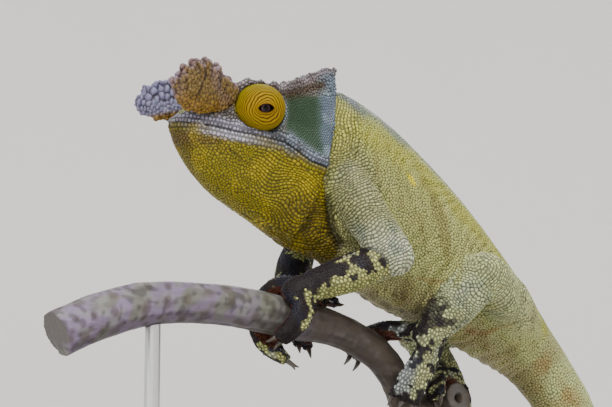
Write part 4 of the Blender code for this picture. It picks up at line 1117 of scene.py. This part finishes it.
def makeTiles(name, rows, coat, spot, levels, finish):       # one mesh of closed little domes
    q, n, flow, side = (coat[key][rows, None] for key in ("q", "n", "flow", "side"))
    height, reach, stretch = (coat[key][rows] for key in ("height", "reach", "stretch"))
    colour, gapColour, inRow = (coat[key][rows] for key in ("colour", "gap", "inRow"))
    cosine, sine, sides = np.cos(tileTurn), np.sin(tileTurn), tile["sides"]
    ahead = flow * cosine[:, None] * stretch[:, None, None] + side * sine[:, None]
    flat = np.column_stack([cosine, sine]) * tile["spot"]
    rings, shades, spots = [], [], []
    for grow, lift, dark in levels:
        up = (height * lift - tile["skirt"] * (lift < 0))[:, None, None]
        rings.append(q + ahead * (reach * grow)[..., None] + n * up)
        # painted shade on each ring; scales in rows get less of it at their ends, where they meet the next
        # scale in the row
        ends = 1 - (0.48 * inRow)[:, None] * np.abs(cosine)
        share = (dark * ends)[..., None] if lift > 0 else np.full((len(q), sides, 1), dark)
        shades.append(colour[:, None] * (1 - share) + gapColour[:, None] * share)
        spots.append(spot[:, None] + np.repeat(flat[None] * min(grow, 1), len(q), axis=0))
    rings.append(q + n * height[:, None, None])
    # painted highlight: each dome's top is painted 8% lighter than its colour
    shades.append(colour[:, None] * 1.08)
    spots.append(spot[:, None])
    p = np.concatenate(rings, axis=1)
    per, faces = p.shape[1], []
    for level in range(len(levels) - 1):
        for k in range(sides):
            a, b = level * sides + k, level * sides + (k + 1) % sides
            faces += [(a, b, b + sides), (a, b + sides, a + sides)]
    last = (len(levels) - 1) * sides
    faces += [(last + k, last + (k + 1) % sides, per - 1) for k in range(sides)]
    faces += [(0, k + 1, k) for k in range(1, sides - 1)]
    faces = (np.arange(len(q))[:, None, None] * per + np.array(faces)).reshape(-1, 3)
    obj = newMesh(name, p.reshape(-1, 3), faces)
    paintMesh(obj, np.concatenate(shades, axis=1).reshape(-1, 3))
    layer = obj.data.uv_layers.new(name="OFBake")
    uv = np.concatenate(spots, axis=1).reshape(-1, 2)[faces.ravel()]
    layer.data.foreach_set("uv", uv.astype(np.float32).ravel())
    obj.data.materials.append(finish)
    return obj


def unwrapOf(q, labelIndex, runs, rise):     # each scale's place on the skin laid flat
    u, v = np.zeros(len(q)), np.zeros(len(q))
    for i, label in enumerate(labels):
        here = labelIndex == i
        if not here.any():
            continue
        p = q[here]
        if label in limbs:
            middle, axis, _ = limbs[label]
            one = unit(np.cross(axis, (0.2, 0.3, 1.0)))
            angle = np.arctan2((p - middle) @ np.cross(axis, one), (p - middle) @ one)
            along = (p - middle) @ axis
        elif label in ("head", "jaw", "horn"):
            angle = np.arctan2(p[:, 1], p[:, 2] - 20)
            along = p[:, 0]
        else:
            angle = np.arctan2(p[:, 1], rise[here] * 20)
            along = runs[here]
        u[here] = (angle / math.pi + 1) / 2
        v[here] = (along - along.min()) / max(np.ptp(along), 1e-6)
    return u, v


coatPieces = {   # the labels in each piece and its slot
    "scalesHead": (("head", "horn"), "skin_green"), "scalesThroat": (("jaw",), "skin_throat"),
    "scalesNeck": (("neck",), "skin_green"), "scalesTrunk": (("torso",), "skin_green"),
    "scalesTail": (("tail",), "skin_green"),
    "scalesArmLeft": (("upperArmLeft", "forearmLeft", "handLeft"), "skin_limb"),
    "scalesArmRight": (("upperArmRight", "forearmRight", "handRight"), "skin_limb"),
    "scalesLegLeft": (("thighLeft", "shinLeft", "footLeft"), "skin_limb"),
    "scalesLegRight": (("thighRight", "shinRight", "footRight"), "skin_limb"),
}
mostScales = {True: 4300, False: 6500}      # in one piece, with fine and with plain domes
variety = {"size": 0.2, "shade": (-0.26, 0.2), "tint": (0.96, 1.04), "height": (0.8, 1.2)}


def gapColourAndShade(zone, labelIndex, colour):      # the dark between the scales, softer on the trunk and tail: partly the skin's own darker colour, partly painted shade in the grooves
    gap = np.tile(tones["gap"], (len(zone), 1))
    for here, name, own, share in (
            (np.isin(labelIndex, [labels.index(label) for label in limbs]), "gapDark", 0.6, 0.12),
            (np.isin(zone, ("trunk", "tail")), "gapBody", 0.2, 0.7),
            (np.isin(zone, ("neck", "upperArm", "thigh", "shin")), "gapBody", 0.3, 0.2),
            (np.isin(zone, ("temple", "lip", "head", "ridge")), "gapBlue", 0.45, 0.2),
            (zone == "ridge", "gapBlue", 0.2, 0.5)):
        gap[here] = tones[name] * own + colour[here] * share
    return gap


def makeCoat(made):
    p, base, hard = made["p"], made["base"], made["hard"]
    surface = Surface(p, made["n"], trianglesOf(made["obj"]))
    zoneAt, follow = zonesOf(base, made["n"], hard)
    uneven = np.clip(variety["size"] * wander(base, 2.6, 301), -0.26, 0.3) * np.isin(zoneAt, unevenZones)
    planAt = np.array([plans[z] for z in zoneAt])
    sizeAt = 1 + uneven
    spacingAt = np.sqrt(planAt[:, 0] * planAt[:, 1]) * sizeAt
    wanted = (fromEye(p) > -0.02 * eye["radius"]) & (hard != labels.index("horn"))
    wanted &= (zoneAt != "lip") | (toLine(base, headLines["mouth"])[0] > 0.5)
    rows = []
    for name, plan in plans.items():
        if not plan[4]:
            continue
        for kind in [name] if name in bodyZones else [label for label in limbs if label.startswith(name)]:
            use = (zoneAt == name) & wanted
            if kind in limbs:
                use &= follow == labels.index(kind)
            rows.append(traceRows(surface, rowField(base, kind), use, plan[1], 300 + len(rows)))
    rows = np.vstack(rows)
    free = scatter(surface, spacingAt, wanted, 5, rows)
    print("scales in rows", len(rows), "and loose", len(free))

    def plansFor(corner):
        across, along = (planAt[corner, k] * sizeAt[corner] for k in (0, 1))
        return zoneAt[corner], follow[corner], across, along

    inRow = np.arange(len(rows) + len(free)) < len(rows)
    q, _, _ = relax(surface, np.vstack([rows, free]), plansFor, inRow)
    holes = scatter(surface, spacingAt, wanted, 6, q)
    print("and put in holes", len(holes))
    q, normal, corner = surface.settle(np.vstack([q, holes]))
    zone, ahead, across, along = plansFor(corner)
    plan, labelIndex = planAt[corner], hard[corner]
    draw = np.random.default_rng(17)
    colour = paint(q, normal, weightsOf(made["soft"][corner]), made["crease"][corner])
    uneven = np.where(np.isin(zone, ("trunk", "tail", "temple")), 0.5, 1.0)[:, None]
    shade = 1 + uneven * draw.uniform(*variety["shade"], (len(q), 1))
    colour *= shade * draw.uniform(*variety["tint"], (len(q), 3))
    flow = flowOf(q, normal, zone, ahead)
    coat = {"q": q, "n": normal, "flow": flow, "side": np.cross(normal, flow), "stretch": along / across,
            "colour": colour, "gap": gapColourAndShade(zone, labelIndex, colour), "inRow": plan[:, 4],
            "height": plan[:, 2] * draw.uniform(*variety["height"], len(q))}
    coat["reach"] = tileReach(coat, across, closestPoints(q, 14), plan[:, 3], zone == "plate")
    runs, rise, _ = survey(q)
    u, v = unwrapOf(q, labelIndex, runs, rise)
    finish = scaleFinish("scales", 0.5)
    pieces = []
    for name, (members, slot) in coatPieces.items():
        here = np.where(np.isin(labelIndex, [labels.index(m) for m in members]))[0]
        fine = name not in ("scalesTrunk", "scalesTail")
        here = here[np.argsort(q[here, 0] if fine else runs[here])]
        for k, part in enumerate(np.array_split(here, max(1, math.ceil(len(here) / mostScales[fine])))):
            stack = (v[part] + np.array([members.index(labels[i]) for i in labelIndex[part]])) / len(members)
            stack = 0.98 * (stack - stack.min()) / np.ptp(stack)
            spot = np.column_stack([0.01 + 0.98 * u[part], 0.01 + stack])
            tiles = makeTiles(f"{name}{k + 1}", part, coat, spot, fineLevels if fine else plainLevels, finish)
            pieces.append(kept(tiles, slot))
    print("scales", len(q), "pieces", len(pieces), "triangles", sum(len(o.data.polygons) for o in pieces))


# Eyes

turret = {"grow": 1.06, "squash": 0.93, "lift": -0.1, "folds": 15, "sharp": 0.36, "rise": 0.38, "around": 120,
          "rings": 150, "dome": 76, "round": 0.85, "under": (-0.30, -0.16, -0.06), "slim": 0.35, "lids": 1.08}
tones |= picked({
    "turretOuter": (148, 138, 10), "turretInner": (168, 134, 2), "turretGroove": (34, 22, 0),
    "turretRim": (96, 66, 20), "socket": (30, 20, 20), "iris": (142, 112, 116), "pupil": (3, 2, 3),
})
lids = ((0.98, 0.1, 0.25), (0.93, 0.7, 0.7), (1.0, 1.5, 1.0), (1.3, 3.2, 1.0))     # size, drop, and darkness, the painted shade that deepens down the lids' inner wall


def eyeFrame(side):
    seat, apex = np.multiply(eye["seat"], (1, side, 1)), np.multiply(eye["apex"], (1, side, 1))
    axis = unit(apex - seat)
    along = unit(np.array(eye["slit"]) - axis * np.dot(eye["slit"], axis))
    return seat, apex, axis, along, np.cross(axis, along)


def makeTurret(word, side):      # a dome of fleshy rings round a narrow opening, with the lids' inner wall
    seat, apex, axis, along, across = eyeFrame(side)
    high = float(np.linalg.norm(apex - seat))
    wide, limit = eye["radius"] * turret["grow"], math.radians(turret["dome"])
    count = turret["around"]
    turn = np.arange(count) * 2 * math.pi / count
    circle = np.column_stack([np.cos(turn), np.sin(turn)])
    slim = np.abs(np.sin(turn)) ** turret["slim"]
    almond = np.column_stack([np.cos(turn) * eye["opening"][0], np.sin(turn) * slim * eye["opening"][1]])
    rings, shades = [], []
    for t in np.concatenate([turret["under"][:2], np.linspace(turret["under"][2], 1.0, turret["rings"])]):
        a = max(t, 0) * limit
        radius = wide * (1 + 0.25 * min(t, 0)) * math.cos(a) ** turret["round"]
        blend = ease(0.6, 1.0, t)
        flat = circle * radius * (1 - blend) + almond * blend * turret["lids"]
        flat = flat * (1, 1 + (turret["squash"] - 1) * (1 - blend)) + (0, turret["lift"] * (1 - blend))
        height = np.full(count, high * math.sin(a) + min(t, 0) * 11)
        drift = 0.9 * np.sin(turn + 0.8 + 2 * t) * (1 - t) + 0.32 * np.sin(2 * turn + 7 * t)
        drift += 0.2 * np.sin(3 * turn - 5 * t + 1)
        drift += 0.12 * np.sin(5 * turn - 13 * t) + 0.07 * np.sin(11 * turn + 31 * t)
        ridge = pleats(t * turret["folds"] + drift, turret["sharp"])
        hold = ease(-0.05, 0.05, t) * ease(1.0, 0.94, t)
        outward = unit(np.column_stack([flat, np.full(count, radius * 0.4 + max(t, 0) * 9)]))
        place = np.column_stack([flat, height]) + outward * (turret["rise"] * (ridge - 0.8) * hold)[:, None]
        rings.append(seat + place[:, :1] * along + place[:, 1:2] * across + place[:, 2:] * axis)
        share = np.clip(t * 1.1 + 0.12 * np.sin(2 * turn + 4 * t), 0, 1)[:, None]
        light = tones["turretOuter"] * (1 - share) + tones["turretInner"] * share
        # painted light and shade on the turret's folds: raised bands are painted lighter, the grooves between
        # them darker, and the rings below the head's skin darker still
        light = light * (0.75 + 0.3 * ridge[:, None]) * (1 - 0.35 * ease(0.0, -0.1, t))
        grooveShade = np.clip((1 - ridge) * 2.0, 0, 1) * hold * (0.55 + 0.45 * ease(0.1, 0.4, t))
        shades.append(layered(light, ("turretGroove", grooveShade)))
    top = high * math.sin(limit)
    for grow, drop, share in lids:
        flat = almond * grow
        rings.append(seat + flat[:, :1] * along + flat[:, 1:] * across + (top - drop) * axis)
        # painted shade: the lids' inner wall is painted darker the deeper it goes into the opening
        shades.append(np.tile(tones["turretRim"] * (1 - share) + tones["gapDark"] * share, (count, 1)))
    p = np.vstack(rings + [rings[0].mean(0)[None], rings[-1].mean(0)[None]])
    shade = np.vstack(shades + [tones["turretOuter"][None], tones["gapDark"][None]])
    a, b = np.arange(count), (np.arange(count) + 1) % count
    faces = []
    for start in range(0, (len(rings) - 1) * count, count):
        for corners in ([a, b, b + count], [a, b + count, a + count]):
            faces.append(np.column_stack(corners) + start)
    last = (len(rings) - 1) * count
    faces += [np.column_stack([b, a, np.full(count, len(p) - 2)]),
              np.column_stack([a + last, b + last, np.full(count, len(p) - 1)])]
    obj = newMesh("turret" + word, p, np.vstack(faces))
    fixNormals(obj)
    paintMesh(obj, shade)
    obj.data.materials.append(scaleFinish("turretSkin" + word, 0.6, mottle=0.2, grain=0.5, shine=0.08))
    return kept(obj, "skin_turret", "eye_turret_" + word.lower())


def fixNormals(obj):
    shape = bmesh.new()
    shape.from_mesh(obj.data)
    bmesh.ops.recalc_face_normals(shape, faces=shape.faces)
    shape.to_mesh(obj.data)
    shape.free()


def makeEyeball(word, side, finish):
    _, apex, axis, _, _ = eyeFrame(side)
    middle = apex - axis * (eye["lid"] + eye["ball"])
    bpy.ops.mesh.primitive_uv_sphere_add(
        segments=56, ring_count=36, radius=eye["ball"] * mm, location=toFrame(middle))
    obj = bpy.context.object
    obj.name = obj.data.name = "eyeball" + word
    obj.rotation_euler = Vector(axis).to_track_quat("Z", "Y").to_euler()
    bpy.ops.object.transform_apply(location=True, rotation=True, scale=True)
    bpy.ops.object.shade_smooth()
    p = readMesh(obj)
    ahead = (p - middle) @ axis
    radius = np.linalg.norm(p - middle - np.outer(ahead, axis), axis=1) + 9 * (ahead < 0)
    bulge = near(radius, 1.9) * 0.3 - near(radius - 2.6, 0.7) * 0.12       # the clear front stands out
    writeMesh(obj, p + bulge[:, None] * axis)
    paintMesh(obj, layered(
        "socket",
        ("iris", near(radius - 1.7, 0.2) * 0.8),
        ("pupil", ease(1.4, 1.2, radius))))
    obj.data.materials.append(finish)
    return kept(obj, "eye", "eyeball_" + word.lower())


def eyeFinish():
    finish = Finish("wetEye", Roughness=0.05, Specular_IOR_Level=0.1)
    finish.feed("Base Color", finish.mix(finish.noise(0.5) * 0.3, finish.attribute(), (0.01, 0.008, 0.01)))
    return finish.material


# Horns

horn = {"voxel": 0.42, "rounds": 5, "every": 1.65, "rim": 3.3, "tall": 1.7, "rise": 0.9, "knob": 2.1,
        "sink": 0.5, "rimSink": 1.1, "sizes": (0.6, 1.3), "domed": 0.6, "rimRounds": 12}
tones |= picked({
    "horn": (124, 102, 60), "hornDeep": (46, 30, 16), "hornLow": (146, 112, 36), "hornFar": (122, 124, 156),
    "lobe": (134, 110, 114), "lobeBlue": (148, 146, 174),
})


def makeHorn(word):      # warts drawn out upwards on the flanks, and round knobs along the rim
    obj = voxelCast("horn" + word, ["horn_" + word.lower()], 0.15, horn["voxel"])
    edges = edgesOf(obj)
    p = spread(readMesh(obj), edges, horn["rounds"], rounding["hard"])
    writeMesh(obj, p)
    n = normalsOf(obj)
    smooth = spread(n, edges, horn["rimRounds"])
    rim = np.clip(ease(-0.05, 0.3, smooth[:, 2]) * ease(43, 47, p[:, 2] - 0.1 * (p[:, 0] + 60))
                  + ease(-0.45, -0.7, smooth[:, 0]) * ease(36, 41, p[:, 2]), 0, 1)
    surface = Surface(p, n, trianglesOf(obj))
    spacing = horn["every"] + (horn["rim"] - horn["every"]) * rim
    seeds = scatter(surface, spacing, np.ones(len(p), bool), 90 + len(word))
    stretch = np.array((1.0, 1.0, 1 / horn["tall"]))
    tree = treeOf(seeds * stretch)
    facing = surface.settle(seeds)[1]
    first, second, nearest = np.zeros(len(p)), np.ones(len(p)), np.zeros(len(p), int)
    for i, place in enumerate(p):        # the two nearest seeds on the same side of the horn
        found = tree.find_n(place * stretch, 8)
        same = [row for row in found if facing[row[1]] @ smooth[i] > 0] or found
        first[i], second[i], nearest[i] = same[0][2], same[min(1, len(same) - 1)][2], same[0][1]
    size = np.random.default_rng(7).uniform(*horn["sizes"], len(seeds))[nearest]
    dome = np.clip(1 - (first / np.maximum(second, 1e-6)) ** 2, 0, 1) ** horn["domed"]
    rise = horn["rise"] + (horn["knob"] - horn["rise"]) * rim
    fine = wander(p, 1.1, 97) * 0.12 + wander(p * (1, 1, 0.4), 3.2, 98) * 0.35
    lift = dome * rise * size - horn["sink"] - horn["rimSink"] * rim + fine
    writeMesh(obj, spread(p + n * lift[:, None], edges, 1, (0.3,)))
    far = 0.9 * (word == "Right")
    colour = layered(
        "horn",
        ("hornDeep", ease(0.2, 1.1, wander(p * (1, 1, 0.4), 2.0, 94)) * 0.85),
        ("lobe", ease(0.0, 0.9, wander(p, 6.0, 96)) * 0.4),
        ("hornLow", ease(44, 36, p[:, 2]) * 0.75),
        ("lobe", rim * 0.85),
        # painted light: only the far (right) horn's upper part takes this cool grey-violet cast
        ("hornFar", ease(36, 39, p[:, 2] - 0.25 * (p[:, 0] + 70)) * far),
        # painted highlight: pale lilac-blue patches on the knobs along the rim
        ("lobeBlue", rim * ease(0.3, 1.0, wander(p, 6.0, 95)) * 0.8))
    # each wart is painted lighter the larger it is, and the hollows between warts darker, as painted shade
    light = colour * (0.7 + 0.45 * size[:, None] / 1.25)
    paintMesh(obj, layered(light, (tones["hornDeep"] * 0.7 + colour * 0.15, ease(0.78, 0.4, dome))))
    obj.data.materials.append(scaleFinish("hornSkin" + word, 0.5, grain=0.5))
    return kept(obj, "skin_horn", "horn_" + word.lower())


# Claws

tones |= picked({"clawDark": (38, 31, 28), "clawPale": (84, 70, 58)})


def makeClaws():
    names = sorted(n for n in nodes if slotOf[n] == "claw")
    obj = castOf(names)
    obj.name = obj.data.name = "claws"
    applied(obj, "SUBSURF", levels=2, render_levels=2)
    only(obj)
    bpy.ops.object.shade_smooth()
    finish = Finish("clawHorn", Roughness=0.3)
    streaks = finish.noise(1.4, 4.0)
    finish.feed("Base Color", finish.mix(streaks, tones["clawDark"], tones["clawPale"]))
    finish.feed("Coat Weight", 0.3)
    finish.bump(finish.noise(0.4), 0.04, 0.5)
    obj.data.materials.append(finish.material)
    return kept(obj, "claw", *names)


# Branch

bark = {"voxel": 0.8, "rounds": 14}
tones |= picked({
    "barkViolet": (134, 120, 146), "barkGreen": (108, 110, 94), "barkBrown": (66, 54, 32),
    "barkLow": (68, 57, 44), "barkWood": (104, 98, 96), "barkDark": (50, 42, 42), "lichen": (140, 140, 134),
})
knots = ((-88, -6, -44, 4.5, 1.3), (-36, -7, -58, 3.8, 1.0), (22, -6, -58, 4.0, 1.2), (50, -6, -78, 3.6, 1.0),
         (-62, 6, -42, 4.4, 1.2))        # each one's place, size and rise


def makeBranch():
    obj = voxelCast("branchBark", ["branch"], 0.0, bark["voxel"])
    edges = edgesOf(obj)
    p = readMesh(obj)
    sharp = ease(-125.0, -122.0, p[:, 0])[:, None]       # the cut end stays crisp
    p = spread(p, edges, bark["rounds"], [rate * sharp for rate in rounding["hard"]])
    writeMesh(obj, p)
    n = normalsOf(obj)
    x, y, _ = p.T
    streak = wander(p * (0.16, 1, 1), 2.2, 101) * 0.16 + wander(p * (0.3, 1, 1), 5.0, 103) * 0.3
    lump = sum(rise * near(np.linalg.norm(p - place, axis=1), size) for *place, size, rise in knots)
    writeMesh(obj, p + n * ((streak + lump) * ease(-126.5, -124.0, x))[:, None])
    left = ease(0, -20, x)
    frontEnd = ease(-0.75, -0.9, n[:, 0]) * ease(-123, -124.5, x)
    stubEnd = ease(0.8, 0.92, n[:, 0] * 0.1 - n[:, 1]) * near(x - 84, 6) * ease(-4.5, -6.2, y)
    paintMesh(obj, layered(
        "barkViolet",
        ("barkGreen", near(x + 22, 18) * 0.75),
        ("barkBrown", ease(-12, 4, x) * 0.9),
        ("barkLow", ease(28, 44, x) * 0.8),
        ("barkGreen", ease(-0.2, 0.8, wander(p, 7.0, 104)) * left * 0.8),
        ("lichen", ease(0.2, 0.9, wander(p, 3.2, 105)) * (0.15 + 0.45 * left)),
        ("barkBrown", ease(0.0, 0.9, wander(p, 5.0, 106)) * 0.6),
        ("barkDark", ease(0.2, 1.0, wander(p * (1, 0.7, 0.7), 2.2, 107) - 1.5 * streak) * 0.6),
        # painted shade: the bark is darker where it faces down
        ("barkDark", ease(0.1, -0.8, n[:, 2]) * 0.45),
        (tones["barkWood"] * 0.7, np.maximum(frontEnd, stubEnd))))
    finish = Finish("bark", Roughness=0.7)
    grain = finish.noise(1.6, 4.0, scale=(0.25, 1, 1))
    finish.shaded(grain * 0.5 + 0.75)
    finish.bump(grain + finish.noise(0.5) * 0.4, 0.35, 0.8)
    obj.data.materials.append(finish.material)
    return kept(obj, "bark", "branch")


# Stand

tones |= picked({"standDark": (44, 30, 22), "standPale": (92, 64, 44)})


def dressStand():
    wood = Finish("standWood", Roughness=0.38)
    grain = wood.noise(14.0, 5.0, scale=(0.12, 1, 1))
    pores = wood.noise(1.2, 2.0, scale=(0.06, 1, 1))
    wood.feed("Base Color", wood.mix(grain * 0.75 + pores * 0.25, tones["standDark"], tones["standPale"]))
    wood.feed("Coat Weight", 0.25)
    wood.bump(pores, 0.12, 0.35)
    steel = Finish("standSteel", Metallic=1.0, Base_Color=(0.56, 0.56, 0.57))
    brushed = steel.noise(0.35, 2.0, scale=(1, 1, 0.02))
    steel.feed("Roughness", brushed * 0.2 + 0.24)
    steel.bump(brushed, 0.02, 0.4)
    for node, finish in (("stand_base", wood), ("stand_rod_front", steel), ("stand_rod_rear", steel)):
        mesh = nodes[node].data
        mesh.materials.clear()
        mesh.materials.append(finish.material)


# Building

makeCamera()
makeLights()
makeFloor()
print("camera, light and floor")

made = makeSkin()
print("skin", len(made["p"]), "points")
skinColour = paint(made["p"], made["n"], weightsOf(made["soft"]), made["crease"])
# the skin between the scales: its own darker colour, deepened as painted shade in the grooves
paintMesh(made["obj"], skinColour * 0.3 + tones["gap"] * 0.4)
made["obj"].data.materials.append(scaleFinish("skin", 0.6))

makeCoat(made)
applied(made["obj"], "DECIMATE", ratio=skin["share"])
kept(made["obj"], "skin_green", *fleshNodes)
print("skin triangles", len(made["obj"].data.polygons))

wet = eyeFinish()
for word, side in sides.items():
    makeTurret(word, side)
    makeEyeball(word, side, wet)
    makeHorn(word)
print("eyes and horns")
makeClaws()
makeBranch()
dressStand()
print("claws, branch and stand")
